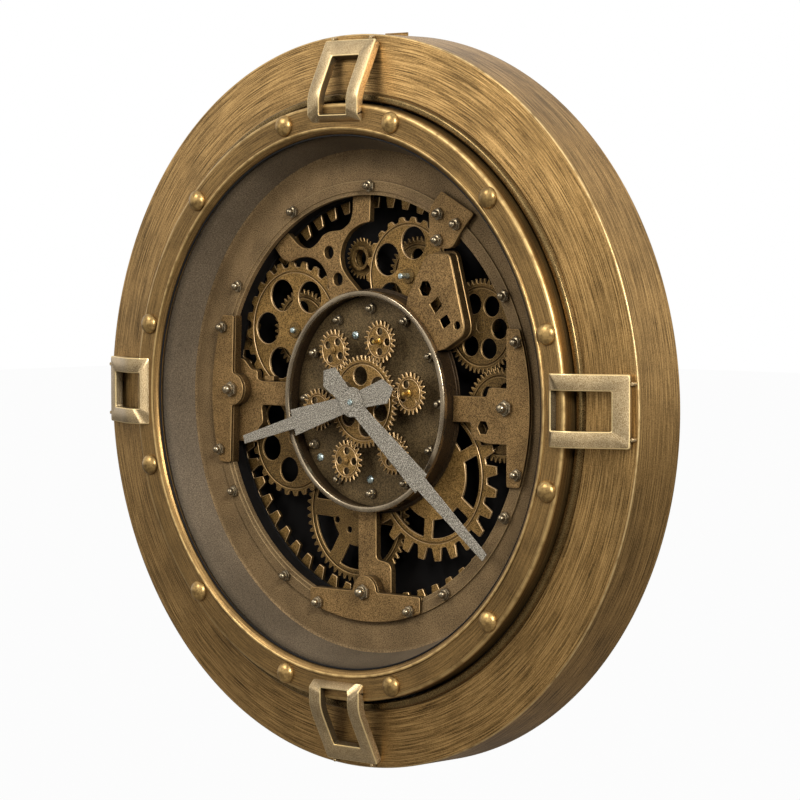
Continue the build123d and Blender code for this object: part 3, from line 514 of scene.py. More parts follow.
def clear_glass(name):
    """Straight view through, mixed with a mirror by (Fresnel share - coating) / (1 - coating)."""
    material, tree, shader = new_material(name, roughness=0.0)
    shader.inputs["Base Color"].default_value = (1, 1, 1, 1)
    shader.inputs["Transmission Weight"].default_value = 1.0
    shader.inputs["IOR"].default_value = 1.0
    fresnel = add(tree, "ShaderNodeFresnel", inputs={"IOR": FLOAT_GLASS_IOR}).outputs[0]
    beyond = add(tree, "ShaderNodeMapRange", inputs={0: fresnel, 1: COATED_SHARE}).outputs[0]
    inside = add(tree, "ShaderNodeNewGeometry").outputs["Backfacing"]
    outside = add(tree, "ShaderNodeMath", {"operation": "SUBTRACT"}, {0: 1.0, 1: inside}).outputs[0]
    share = add(tree, "ShaderNodeMath", {"operation": "MULTIPLY"}, {0: beyond, 1: outside}).outputs[0]
    mirror = add(tree, "ShaderNodeBsdfGlossy", inputs={"Roughness": 0.0}).outputs[0]
    coated = add(tree, "ShaderNodeMixShader", inputs={0: share, 1: shader.outputs[0], 2: mirror}).outputs[0]
    rays = add(tree, "ShaderNodeLightPath").outputs
    seen = add(tree, "ShaderNodeMath", {"operation": "MAXIMUM"},
               {0: rays["Is Camera Ray"], 1: rays["Is Transmission Ray"]}).outputs[0]
    passing = add(tree, "ShaderNodeBsdfTransparent").outputs[0]
    mixed = add(tree, "ShaderNodeMixShader", inputs={0: seen, 1: passing, 2: coated})
    tree.links.new(mixed.outputs[0], tree.nodes["Material Output"].inputs["Surface"])
    return material


# Float glass, ground and chamfered at its edge: not seen from the front, a mirror from the side.
lens_glass = clear_glass("float_glass")
print("all finishes:", len(bpy.data.materials))

# %% [markdown]
# ## The case
# The can is spun from sheet: a band round the side, a shallow cone in front that rises towards the
# middle, and a lip rolled back into the dark groove beside the bezel. One closed profile is carried
# round the axis. The back is a separate flat plate, because it needs a keyhole and an opening for
# the battery.

# %% Case
CASE_R, BAND_H, CONE_R, CONE_H, SHEET = 306.0, 50.8, 252.6, 58.0, 1.2
profile, worn = rounded(
    [(300, 0), (CASE_R, 0), (CASE_R, BAND_H), (CONE_R + 5, CONE_H - 0.7), (CONE_R + 5, 52), (CONE_R + 6, 52),
     (CONE_R + 7, BAND_H + 4.4), (CASE_R - SHEET, BAND_H - SHEET), (CASE_R - SHEET, SHEET), (300, SHEET)],
    [0, 1.0, 1.3, 0.3, 0.3, 0.3, 1.5, 0.8, 0.8, 0],
)
case_can = make_piece("case_can", [turned(profile, worn, 384)], case_bronze,
                      stands_for=["case_shell"])

lip = rounded([(CONE_R - 2.4, 43), (CONE_R - 2.4, 61.6), (CONE_R + 3.4, 61.6), (CONE_R + 4.9, 57.8),
               (CONE_R + 4.9, 43)], [0.2, 2.8, 2.7, 0.3, 0.2], 8)[0]
make_piece("case_lip", [turned(lip, 0, 256)], worn_lip)

SLOT_R, SLOT_Z, HEAD_R, HEAD_Z = 2.3, 282, 5, 270
slot_angle, head_angle = np.linspace(0, math.pi, 12), np.linspace(2.05, 7.38, 30)
keyhole = np.concatenate([
    np.stack([SLOT_R * np.cos(slot_angle), SLOT_Z + SLOT_R * np.sin(slot_angle)], -1),
    np.stack([HEAD_R * np.cos(head_angle), HEAD_Z + HEAD_R * np.sin(head_angle)], -1),
])
door = rounded([(-28, -28.5), (28, -28.5), (28, -7.5), (-28, -7.5)], 1.5)[0]
make_piece("case_back", [plate(circle(300.4, count=256), [keyhole, door], 0, SHEET, 0.1)],
           case_inside)
print("case faces:", len(case_can.data.polygons))

# %% [markdown]
# ## The bezel and its rivets
# The bezel is one heavy spun ring: a skirt over the pan, a flat front and a low bead that slopes down
# to the glass, with a strip of rubber under it. Wear is greatest on the bead's crest and the outer
# edge, so these get the brighter colour, and the skirt gets painted shade. Twelve domed rivets sit
# in the flat part. A dome is a quarter ellipse turned round the rivet's axis.

# %% Bezel
BEZEL_R, BEZEL_H, CREST_H = 248.4, 73.2, 74.5
profile = rounded(
    [(247.3, 58), (BEZEL_R, 58), (BEZEL_R, BEZEL_H), (229.2, BEZEL_H), (228.6, CREST_H), (227.2, CREST_H),
     (224.4, 72.8), (222.9, 70.8), (222.7, 66.6), (224.6, 66.6), (227, 69.6), (232, 72.0), (247.3, 70)],
    [0.2, 0.2, 3.0, 0.3, 0.6, 0.9, 1.0, 0.5, 0.1, 0.1, 0.6, 0.6, 0.2],
)[0]
on_crest = profile[:, 1] > CREST_H - 0.4
on_edge = (profile[:, 0] > BEZEL_R - 2.4) & (profile[:, 1] > BEZEL_H - 2.0)
crest_wear_and_skirt_shade = np.where(on_crest | on_edge, 1.0, 0.0)
# Painted shade on the skirt below the outer edge.
crest_wear_and_skirt_shade[(profile[:, 0] > BEZEL_R - 0.1) & (profile[:, 1] < BEZEL_H - 3.2)] = -0.5
bezel = make_piece("bezel_front", [turned(profile, crest_wear_and_skirt_shade, 384)], bezel_bronze,
                   stands_for=["bezel_ring"])
gasket_profile = rounded([(221.0, 69.1), (222.6, 69.1), (222.6, 70.2), (221.4, 70.4)], 0.3)[0]
make_piece("glass_gasket", [turned(gasket_profile, 0, 256)], gasket_black)

RIVET_CIRCLE, RIVET_R, RIVET_H, RIVETS = 238.8, 9.0, 5.6, 12
dome_angle = np.linspace(0, math.pi / 2, 9)
dome = np.stack([RIVET_R * np.cos(dome_angle), 0.3 + RIVET_H * np.sin(dome_angle)], -1)
dome = np.concatenate([[(RIVET_R, -0.2)], dome])
rivet_places = [polar(RIVET_CIRCLE, (i + 0.5) * 360 / RIVETS) for i in range(RIVETS)]
rivets = make_piece("bezel_rivet_domes", [knob(dome, place, BEZEL_H, 32) for place in rivet_places],
                    rivet_bronze, stands_for=["bezel_rivets"])
print("bezel and rivet faces:", len(bezel.data.polygons), len(rivets.data.polygons))

# %% [markdown]
# ## The four latches
# Each latch is a cast frame with a window. It lies on the bezel, bends over its edge and runs down
# over the cone to the rim. Its outline and its window are two closed loops, and eight loops made
# from them give the rounded frame: up the outside, over the face and down the window's side.
# Two pins show at its outer end. The left and right latches sit 2.5 mm above the middle, as seen.

# %% Latches
PATH = rounded([(232.0, 72.6), (238.2, 79.0), (252.5, 79.0), (260.5, 76.6), (301.5, 56.6)],
               [0, 1.2, 5, 6, 0], 7, closed=False)[0]
LATCH_HALF, WINDOW_HALF, WINDOW_FROM, WINDOW_TO, LATCH_DEPTH = 29.0, 15.6, 238.6, 288.0, 6.6
LOOP_POINTS, SIDE_LIFT, PIN_CIRCLE, PIN_TURN, PIN_FOOT = 220, 2.5, 303.2, 4.1, 51.5


def evenly(loop):
    """Closed loop divided evenly by length from its first point."""
    loop = np.concatenate([loop, loop[:1]])
    run = np.concatenate([[0], np.cumsum(np.linalg.norm(np.diff(loop, axis=0), axis=1))])
    place = np.linspace(0, run[-1], LOOP_POINTS + 1)[:-1]
    return np.stack([np.interp(place, run, loop[:, k]) for k in (0, 1)], -1)


def latch_frame(turn, lift):
    """Frame on the path: loops of (path length, side) set back from the path along its normal.

    The outline's corners and the window's corners are rounded in that flat plane.
    """
    step = np.linalg.norm(np.diff(PATH, axis=0), axis=1)
    length = np.concatenate([[0], np.cumsum(step)])
    total = length[-1]
    near, far = np.interp([WINDOW_FROM, WINDOW_TO], PATH[:, 0], length)
    side = np.array([-1, -1, 1, 1])
    outer = evenly(rounded(np.stack([[0, total, total, 0], side * LATCH_HALF], -1), 1.8, 5)[0])
    inner = evenly(rounded(np.stack([[near, far, far, near], side * WINDOW_HALF], -1), 1.2, 5)[0])
    tangent = np.gradient(PATH, length, axis=0)
    normal = np.stack([-tangent[:, 1], tangent[:, 0]], -1)
    normal /= np.linalg.norm(normal, axis=1, keepdims=True)
    rounding = np.array([(0, LATCH_DEPTH), (0, 0.9), (0.28, 0.28), (0.9, 0)])
    loops = []
    for inset, drop in rounding:
        share = inset / (LATCH_HALF - WINDOW_HALF)
        loops.append((outer * (1 - share) + inner * share, drop))
    for inset, drop in rounding[::-1]:
        share = inset / (LATCH_HALF - WINDOW_HALF)
        loops.append((inner * (1 - share) + outer * share, drop))
    # Rubbed bright on the rounded edges of the face; painted shade (-1) on the window's side and the
    # underside.
    points, worn = [], [0, 1, 1, 0, 1, 1, -1, -1]
    for loop, drop in loops:
        skin = [np.interp(loop[:, 0], length, PATH[:, k]) for k in (0, 1)]
        inwards = [drop * np.interp(loop[:, 0], length, normal[:, k]) for k in (0, 1)]
        points.append(np.stack([skin[0] - inwards[0], skin[1] - inwards[1], loop[:, 1]], -1))
    points = np.concatenate(points)
    spun = points.copy()
    cosine, sine = math.cos(math.radians(turn)), math.sin(math.radians(turn))
    spun[:, 0] = points[:, 0] * cosine - points[:, 2] * sine
    spun[:, 2] = points[:, 0] * sine + points[:, 2] * cosine + lift
    wear_and_shade = np.repeat(np.array(worn, float), LOOP_POINTS)
    return spun, grid_faces(len(loops), LOOP_POINTS, wrap_rows=True), wear_and_shade


pin = np.array([(1.6, 0.0), (1.6, 4.2), (1.2, 4.6), (0.0, 4.6)])
for latch_name, latch_turn in (("right", 0), ("top", 90), ("left", 180), ("bottom", 270)):
    latch_lift = SIDE_LIFT * abs(math.cos(math.radians(latch_turn)))
    pins = [knob(pin, polar(PIN_CIRCLE, latch_turn + side * PIN_TURN, (0, latch_lift)), PIN_FOOT, 16)
            for side in (-1, 1)]
    latch = make_piece(f"latch_frame_{latch_name}", [latch_frame(latch_turn, latch_lift), *pins],
                       latch_bronze, stands_for=[f"latch_{latch_name}"])
print("latch faces:", len(latch.data.polygons))

# %% [markdown]
# ## Glass, dial ring and well
# The glass is one flat disc. Behind it the dial pan steps down: a deep wall, a matt ring, a thin
# stud ring that lies on it and the well's own wall and floor. Their paints differ, so each is a
# closed ring or disc of its own, and together they stand for the pan.

# %% Glass, dial and well
glass = [(0, 66), (221.9, 66), (222.3, 66.4), (222.3, 68.6), (221.9, 69), (0, 69)]
make_piece("glass_disc", [turned(glass, 0, 256, closed=False)], lens_glass,
           stands_for=["glass_lens"])

wall = rounded([(210.5, 37.0), (211.4, 36.0), (247.0, 36.0), (247.0, 65.9), (221.6, 65.9), (217.5, 56.0)],
               [0, 0, 0, 0.2, 0.3, 9.0])[0]
make_piece("pan_wall", [turned(wall, 0, 256)], wall_paint, stands_for=["dial_pan"])
dial = rounded([(184.6, 35.9), (212.0, 35.9), (211.6, 38.4), (209.0, 37.2), (184.6, 37.2)],
               [0, 0, 0.3, 1.6, 0], 4)[0]
make_piece("dial_ring", [turned(dial, 0, 256)], dial_paint)
RING_R, RING_TOP, WELL_R = 184.8, 39.0, 176.4
stud_ring = rounded([(172.8, 33.0), (RING_R, 33.0), (RING_R, RING_TOP), (WELL_R, RING_TOP), (176.1, 38.0),
                     (172.8, 38.0)], [0.2, 0, 0.5, 0.3, 0.1, 0.5], 4)
make_piece("stud_ring", [turned(*stud_ring, 256)], dial_paint)
well = np.array([(176.6, 1.25), (178.2, 1.25), (178.2, 33.1), (172.9, 33.1), (172.9, 22.0), (171.4, 21.6),
                 (171.4, 20.6), (176.6, 20.6)])
make_piece("well_wall", [turned(well, 0, 192)], well_black)
make_piece("well_floor", [plate(circle(WELL_R, count=160), [door], 1.25, 1.75, 0.05)], well_black)
print("the well is", WELL_R * 2, "mm wide")

# %% [markdown]
# ## Toothed outlines
# Two kinds of teeth appear. Most large wheels have coarse blocks, stamped from plate, so a tooth is a
# trapezoid with rounded corners. The display train and a few wheels in the well have fine rounded
# teeth. Either is a short list of radii over shares of one tooth's angle, repeated round the wheel.

# %% Teeth and wheels
def coarse_edge(teeth, tip, root, first, tip_share=0.36, base_share=0.66, cut=1.1):
    """Trapezoid teeth: each corner at a share of the pitch from the tooth's middle, then rounded."""
    shares = np.array([-base_share, -tip_share, tip_share, base_share]) / 2
    angle = np.radians(first + (np.arange(teeth)[:, None] + shares) * 360 / teeth)
    radius = np.broadcast_to([root, tip, tip, root], angle.shape)
    corners = np.stack([radius * np.cos(angle), radius * np.sin(angle)], -1).reshape(-1, 2)
    return rounded(corners, cut, 4)[0]


def fine_edge(teeth, tip, root, first):
    """Rounded teeth: eight points a tooth, from one root over the crown to the next."""
    shares = np.array([-0.44, -0.31, -0.23, -0.09, 0.09, 0.23, 0.31, 0.44])
    rises = np.array([0.0, 0.12, 0.55, 1.0, 1.0, 0.55, 0.12, 0.0])
    angle = np.radians(first + (np.arange(teeth)[:, None] + shares) * 360 / teeth)
    radius = root + np.broadcast_to(rises, angle.shape) * (tip - root)
    return np.stack([radius * np.cos(angle), radius * np.sin(angle)], -1).reshape(-1, 2)


def holes_round(radius, place, count, first, offset=(0, 0)):
    """Round holes evenly spaced on a circle."""
    return [circle(radius, np.add(offset, polar(place, first + i * 360 / count)), 28) for i in range(count)]


def windows_round(inner, outer, count, first, spoke, cut=2.0):
    """Windows between spokes of one width.

    At a radius r the half angle of a window is 180 / count less the arc sine of spoke / 2r.
    """
    half_out, half_in = (180 / count - math.degrees(math.asin(spoke / 2 / r)) for r in (outer, inner))
    loops = []
    for number in range(count):
        middle = first + number * 360 / count
        loop = [polar(outer, middle + a) for a in np.linspace(-half_out, half_out, 13)]
        loop += [polar(inner, middle + a) for a in np.linspace(half_in, -half_in, 13)]
        cuts = np.zeros(26)
        cuts[[0, 12, 13, 25]] = cut
        loops.append(rounded(loop, cuts, 4)[0])
    return loops


def grooved_wheel(edge, centre, level, thick, groove, holes, bore, groove_depth=1.3, groove_half=0.8):
    """Wheel of three layers: a full base, and above it an outer and an inner layer with a groove between."""
    floor, top = level + thick - groove_depth, level + thick
    outline = np.asarray(edge) + centre
    ring_out = circle(groove + groove_half, centre, 96)
    ring_in = circle(groove - groove_half, centre, 96)
    webs = [np.asarray(hole) + centre for hole in holes]
    hub = [circle(bore, centre, 32)]
    return [plate(outline, webs + hub, level, floor, 0.1), plate(outline, [ring_out], floor, top, 0.38),
            plate(ring_in, webs + hub, floor, top, 0.38)]


print("points round a wheel of 24 coarse teeth:", len(coarse_edge(24, 60, 54, 0)))

# %% [markdown]
# ## The gear ring and the large wheels
# A gear ring with sixty inward teeth lines the well. Seven large wheels lie behind the drum in three
# levels, and two smaller ones behind them. The groove on each face is turned on a lathe. It is a real
# step here, so its edge catches the light as it does in the photograph.

# %% Wheels in the well
shares = np.array([-0.66, -0.38, 0.38, 0.66]) / 2
angle = np.radians((np.arange(60)[:, None] + 0.5 + shares) * 6)
radius = np.broadcast_to([173.4, 162.3, 162.3, 173.4], angle.shape)
inward = rounded(np.stack([radius * np.cos(angle), radius * np.sin(angle)], -1).reshape(-1, 2), 0.8, 3)[0]
make_piece("gear_ring_teeth", [plate(circle(WELL_R, count=240), [inward], 15.0, 18.4, 0.4)], gear_brass,
           stands_for=["ring_gear"])

FRONT, MIDDLE, REAR, THICK = 21.6, 18.8, 15.0, 2.4
small_holes = [circle(2.9, polar(25.0, 198.0), 20), circle(2.9, polar(17.9, 239.4), 20)]
bottom_openings = windows_round(29, 49, 6, 27, 14) + small_holes
LARGE_WHEELS = {
    "top_left": ((-99.6, 57.6), FRONT, coarse_edge(24, 60.1, 54.3, 4), 50.3,
                 holes_round(13.7, 33.6, 6, -2)),
    "top_right": ((35.1, 105.2), FRONT, coarse_edge(22, 49.4, 45.6, 2), 43.3,
                  holes_round(13.7, 28.1, 5, 79)),
    "right_upper": ((114.0, 64.7), MIDDLE, fine_edge(50, 39.0, 35.0, -73.65), 32.0,
                    holes_round(8.5, 20, 6, -5)),
    "right_lower": ((135.2, -7.5), MIDDLE, fine_edge(50, 39.0, 35.0, 109.95), 32.0,
                    holes_round(8.0, 20, 6, 10)),
    "lower_left": ((-105.4, -35.7), MIDDLE, coarse_edge(28, 50.3, 46.0, 3), 43.3,
                   holes_round(11.0, 28.1, 6, 20)),
    "bottom": ((-32.0, -96.1), REAR, fine_edge(58, 60.1, 55.8, 0), 52.5, bottom_openings),
    "lower_right": ((61.0, -58.9), FRONT, coarse_edge(24, 72.6, 61.6, 5), 57.3,
                    windows_round(38.1, 53.4, 6, 55, 9.5)),
}
for wheel_name, (centre, level, edge, groove, holes) in LARGE_WHEELS.items():
    material = rear_brass if level < FRONT else gear_brass
    piece = make_piece(f"{wheel_name}_gear", grooved_wheel(edge, centre, level, THICK, groove, holes, 5.1),
                       material, stands_for=[f"wheel_{wheel_name}"])
    print(wheel_name, len(piece.data.polygons))

BEHIND = {"top_left": ((-99.6, 57.6), 12.0, 35.0, 42), "top_right": ((35.1, 105.2), 10.0, 33.0, 40)}
for wheel_name, (centre, level, tip, teeth) in BEHIND.items():
    edge, holes = fine_edge(teeth, tip, tip - 3.8, 3), holes_round(7, tip - 17, 5, 20)
    make_piece(f"{wheel_name}_second_gear",
               grooved_wheel(edge, centre, level, THICK, tip - 7, holes, 5.1), rear_brass)

# %% [markdown]
# ## Arbors
# Each large wheel sits on an arbor that stands on the well's floor, with a thin shoulder under the
# wheel. A stem is a profile turned round its own axis. Two of them end in front in a cap with a pin.

# %% Arbors
arbors, arbor_pins = [], []
PIN_LENGTHS = {"top_left": 2.2, "top_right": 9.0}
for wheel_name, (centre, level, *rest) in LARGE_WHEELS.items():
    top = level + THICK
    nose = PIN_LENGTHS.get(wheel_name, 0.0)
    stem = [(5.0, 1.8), (5.0, level - 0.2), (9.0, level - 0.2), (9.0, level - 0.05), (5.0, level - 0.05),
            (5.0, top)]
    if nose:
        stem += [(6.6, top + 0.02), (6.6, top + 0.9), (6.1, top + 1.3), (0.0, top + 1.4)]
        pin = [(2.4, 0), (2.4, nose), (1.9, nose + 0.5), (0, nose + 0.6)]
        arbor_pins.append(knob(pin, centre, top + 1.3, 24))
    else:
        stem += [(4.6, top + 0.1), (0.0, top + 0.1)]
    arbors.append(knob(stem, centre, 0.0, 28))
make_piece("gear_arbors", arbors, rear_brass, stands_for=["wheel_arbors"])
make_piece("arbor_pins", arbor_pins, screw_steel)
print("arbors:", len(arbors), "with pins:", len(arbor_pins))

# %% [markdown]
# ## Drum and floor plate
# The drum is a spun wall with a polished bead at its rim and a thin flange at its foot. Its floor
# carries twelve ball studs, three steel screws and the train.

# %% Drum
drum = rounded([(88.9, 24.4), (94.6, 24.4), (94.6, 25.7), (92.0, 25.9), (92.0, 41.2), (88.9, 41.2)],
               [0.1, 0.4, 0.4, 0.6, 0.2, 0.2], 4)
make_piece("drum_wall", [turned(*drum, 192)], drum_bronze, stands_for=["centre_drum"])
bead = rounded([(88.1, 38.4), (93.1, 38.4), (93.1, 43.4), (88.1, 43.4)], 2.4, 8)
make_piece("drum_rim", [turned(*bead, 192)], rim_steel)
floor = rounded([(4.1, 27.5), (88.6, 27.5), (88.6, 30.5), (4.1, 30.5)], 0.3, 3)
make_piece("drum_floor", [turned(*floor, 160)], disc_bronze, stands_for=["disc_plate"])
print("points in the rim's round section:", len(bead[0]))

# %% [markdown]
# ## Studs, nuts and screws
# Every stud is a six-sided nut, two thin collars and a ball, turned in one piece. The nut is six-sided
# and the rest round, so the two parts come from one function with and without sides. Their places are
# given as angles on a circle, read from the photograph.

# %% Studs
BALL = np.linspace(-1.15, math.pi / 2, 9)


def ball_stud(centre, foot, height, ball, turn=0.3):
    """Hexagon nut, two thin collars and a ball: the ball's radius is its cosine, its height its sine."""
    nut = np.array([(1.30, 0.0), (1.42, 0.06), (1.42, 0.26), (1.30, 0.32), (0.0, 0.32)])
    collars = np.array([(1.12, 0.32), (1.2, 0.36), (1.2, 0.42), (0.95, 0.46), (0.62, 0.5)])
    cap = np.stack([ball * np.cos(BALL), height - ball + ball * np.sin(BALL)], -1)
    body = np.concatenate([collars * [ball, height], cap])
    return [knob(nut * [ball, height], centre, foot, 24, turn, 6), knob(body, centre, foot, 20)]


STUD_CIRCLE, STUD_TURN, PLATE_TOP, FLOOR_TOP = 180.4, 17.2, 42.0, 30.5
SEGMENT_TURNS = {"right": 0.0, "left": 178.0, "bottom": 270.0}
ring_places = [polar(STUD_CIRCLE, a) for a in (30, 88.2, 118.2, 148.2, 207.6, 238, 300.5, 330.5)]
high_places = [polar(STUD_CIRCLE, a + side * STUD_TURN) for a in SEGMENT_TURNS.values() for side in (-1, 1)]
high_places += [(86.9, 156.5), (106.3, 148.0), (86.0, 135.1)]
studs = sum([ball_stud(place, RING_TOP, 8.4, 3.2, i) for i, place in enumerate(ring_places)], [])
studs += sum([ball_stud(place, PLATE_TOP, 8.4, 3.2, i) for i, place in enumerate(high_places)], [])
make_piece("dial_ball_studs", studs, stud_steel, stands_for=["dial_studs"])
ears = [polar(160, a) for a in SEGMENT_TURNS.values()]
anchors = sum([ball_stud(place, PLATE_TOP, 10.0, 4.2, i) for i, place in enumerate(ears)], [])
anchors += [knob([(3.4, 0), (3.4, 4.2)], (84.5, 133.0), 34.9, 20)]
make_piece("anchor_ball_studs", anchors, stud_steel, stands_for=["anchor_studs"])
drum_studs = sum([ball_stud(polar(77.8, 30 * i), FLOOR_TOP, 8.0, 2.8, i) for i in range(12)], [])
make_piece("drum_ball_studs", drum_studs, stud_steel, stands_for=["disc_studs"])
screw = [(3.4, 0), (3.4, 1.0), (2.8, 1.7), (1.0, 2.0), (0.9, 1.3), (0, 1.3)]
make_piece("drum_screws", [knob(screw, place, FLOOR_TOP, 24) for place in ((-20, 55), (-62, -50), (-3, -66))],
           screw_steel)
print("studs on the ring and its plates:", len(ring_places) + len(high_places))

# %% [markdown]
# ## Segment plates and arms
# The drum hangs in the well on thick plates: an arm at each side and below, which ends under a
# segment plate on the stud ring, and two bridges above. Their outlines are drawn in millimetres and
# rounded at the corners, then given a thickness with worn edges.

# %% Segment plates and arms
def arc_points(radius, first, last, count, centre=(0, 0)):
    """Points along an arc between two angles."""
    return [polar(radius, a, centre) for a in np.linspace(first, last, count)]


def bracket_outline(radius):
    """Segment between a chord and an arc, with a round ear on the middle of the chord."""
    end = math.degrees(math.asin(64 / radius))
    points = arc_points(radius, -end, end, 41)
    points += [np.array([160.0, 64.0]), np.array([160.0, 15.5])]
    points += arc_points(13.7, 96, 264, 21, (160.0, 0.0))
    points += [np.array([160.0, -15.5]), np.array([160.0, -64.0])]
    cuts = np.zeros(len(points))
    cuts[[0, 40, 41, -1]], cuts[[42, -2]] = 2.2, 2.5
    return rounded(points, cuts, 4)[0]


for side, turn in SEGMENT_TURNS.items():
    face = plate(turn_points(bracket_outline(RING_R), turn), [], RING_TOP, PLATE_TOP, 0.4)
    block = plate(turn_points(bracket_outline(176.2), turn), [], 31.6, RING_TOP, 0.2)
    make_piece(f"segment_plate_{side}", [face, block], plate_bronze,
               stands_for=[f"segment_bracket_{side}"])


def from_drum(corners, cuts, first, last):
    """Outline through rounded corners that goes back along the drum's wall from one angle to another."""
    wall = arc_points(92.3, first, last, 15)
    return rounded([*corners, *wall], [*cuts, *[0] * 15], 6)[0]


ARM_LOW, ARM_TOP = 25.4, 31.5
left_arm = from_drum([(-134, 12.8), (-139, 15), (-139, 22), (-147, 23), (-156, 32), (-168, 32), (-168, -34),
                      (-163, -40), (-139, -40), (-139, -29), (-132, -23), (-134, -7.6)],
                     [2, 2, 2, 5, 4, 2, 3, 4, 4, 3, 3, 4], 184.7, 172.0)
right_arm = from_drum([(112, -13.7), (112, -27), (131, -30.5), (168, -30.5), (168, 15.3), (131, 15.3),
                       (129, 7.6)], [2, 3, 3, 3, 3, 3, 3], 4.7, -8.6)
bottom_arm = from_drum([(-16.8, -168), (21.4, -168), (21.4, -135.7), (4.0, -133)], [3, 4, 7, 4], 272.5, 259.5)
step_block = rounded([(-120, 13.2), (-131, 13.2), (-131, 17.5), (-120, 17.5)], 0.8, 3)[0]
for side, outline, holes, more in (
    ("left", left_arm, [], [plate(step_block, [], 23.6, 30.5, 0.4)]),
    ("right", right_arm, [circle(6.0, (125, -17.5), 6)], []),
    ("bottom", bottom_arm, [], []),
):
    make_piece(f"drum_arm_{side}", [plate(outline, holes, ARM_LOW, ARM_TOP, 0.5), *more], plate_bronze,
               stands_for=[f"arm_{side}"])
print("points round the left arm:", len(left_arm))

# %% [markdown]
# ## Top bridge
# The top bridge is cut from the same thick plate as the arms. It bends round an open eye, where a
# small wheel on a tube shows through, and has two round holes.

# %% Top bridge
bridge = [(-54, 107), (-60, 114.5), (-68.4, 119.2), (-79.3, 120.8), (-90.2, 119.3), (-98.8, 115.9),
          (-107, 118.5), (-118.9, 130.1), (-102.3, 142.2), (-87.7, 130.5), (-81, 127.8), (-73, 127.8),
          (-64.8, 132.3), (-58.7, 139.1), (-50.3, 142.3), (-36, 143.3), (-26.5, 149.5), (-22.8, 158),
          (-22.5, 174), (-1.8, 174), (-3.1, 150.4), (-14.8, 148.3), (-26.6, 142.4), (-34.9, 132.3),
          (-38, 122.2), (-36.2, 112.1), (-29.1, 103.7)]
cuts = [3, 4, 5, 5, 5, 4, 2, 1, 1, 3, 4, 4, 5, 5, 6, 7, 6, 4, 1, 1, 1.5, 5, 6, 6, 6, 5, 4]
points = from_drum(bridge, cuts, 99.0, 121.5)
holes = [circle(5.6, (-51.2, 124.5), 32), circle(5.6, (-40.5, 101.8), 32)]
make_piece("top_bridge_plate", [plate(points, holes, ARM_LOW, ARM_TOP, 0.5)], plate_bronze,
           stands_for=["top_bridge"])
print("points round the top bridge:", len(points))

# %% [markdown]
# ## Cover and tie plate
# The bridge at the upper right is a pressed cover with its sides turned down. So it is a thin face on
# a wall and a foot, each a ring between an outline and the same outline moved inwards. Next to it a
# flat tie plate with three studs lies on the stud ring.

# %% Cover and tie plate
def inset(loop, distance):
    """Loop moved inwards along the mean normal of its two neighbours."""
    loop = np.asarray(loop)
    along = np.roll(loop, -1, axis=0) - np.roll(loop, 1, axis=0)
    size = np.maximum(np.linalg.norm(along, axis=1, keepdims=True), 1e-9)
    normal = np.stack([-along[:, 1], along[:, 0]], -1) / size
    area = np.sum(loop[:, 0] * np.roll(loop[:, 1], -1) - loop[:, 1] * np.roll(loop[:, 0], -1))
    return loop + normal * distance * (1 if area > 0 else -1)


flange = from_drum([(89, 46), (113.2, 59.2), (94.0, 127.2), (67.5, 124.6), (46, 88)], [1, 11, 7, 5, 1],
                   61.5, 28.5)
raised = from_drum([(89, 46), (112.4, 59), (94.2, 124.4), (69, 123.4), (47.5, 88)], [1, 10, 5, 5, 1],
                   60.5, 28.5)
openings = [circle(6.9, (67.5, 95.2), 6), [(72.5, 82.5), (81.5, 89), (86.5, 81.5), (78.5, 75)],
            [(83.5, 70), (91.5, 74.5), (96, 67.5), (88, 62.5)], circle(3.4, (103, 65.5), 28)]
openings = [rounded(loop, 0.6, 3)[0] if len(loop) < 10 else loop for loop in openings]
make_piece("cover_bridge", [plate(raised, openings, 37.2, 38.6, 0.5),
                            plate(raised, [inset(raised, 1.8)], 29.9, 37.3, 0.2),
                            plate(flange, [inset(flange, 2.9)], 25.0, 30.0, 0.5)],
           plate_bronze, stands_for=["flanged_bridge"])

tie = rounded([(88.0, 175.5), (124.5, 156.5), (110.4, 142.2), (99.5, 127.5), (75, 129.5), (74.6, 160.6)],
              [3, 3, 12, 9, 9, 4], 8)[0]
foot = inset(tie, 0.4)
foot = foot[foot[:, 1] < 150]
make_piece("tie_plate", [plate(tie, [], RING_TOP, PLATE_TOP, 0.7), plate(foot, [], 34.1, RING_TOP, 0.2)],
           plate_bronze, stands_for=["stud_plate"])
print("openings in the cover:", len(openings))

# %% [markdown]
# ## Eye wheel
# A small wheel on a tube shows through the top bridge's open eye. The wheel is a plate with fine
# teeth, and the tube and the pin inside it are profiles turned round the same axis.

# %% Eye wheel
EYE_WHEEL = (-26.5, 119.5)
eye_edge = fine_edge(26, 17.6, 14.6, 0) + np.array(EYE_WHEEL)
tube = rounded([(7.7, 8), (10.4, 8), (10.4, 19.5), (7.7, 19.5)], 0.5, 3)[0]
make_piece("eye_wheel", [plate(eye_edge, [circle(7.6, EYE_WHEEL, 32)], 14.0, 16.4, 0.3),
                         turned(tube, 0, 40, EYE_WHEEL), knob([(2.4, 1.8), (2.4, 9)], EYE_WHEEL, 0, 16)],
           rear_brass)
print("points round the eye wheel:", len(eye_edge))

# %% [markdown]
# ## The display train
# One centre wheel runs on the bushing and drives six small wheels, so all the small ones turn the
# other way, faster. Their teeth mesh at rest: the phase of each small wheel comes from the nearest
# tooth of the centre wheel, and the joints keep it at every angle.

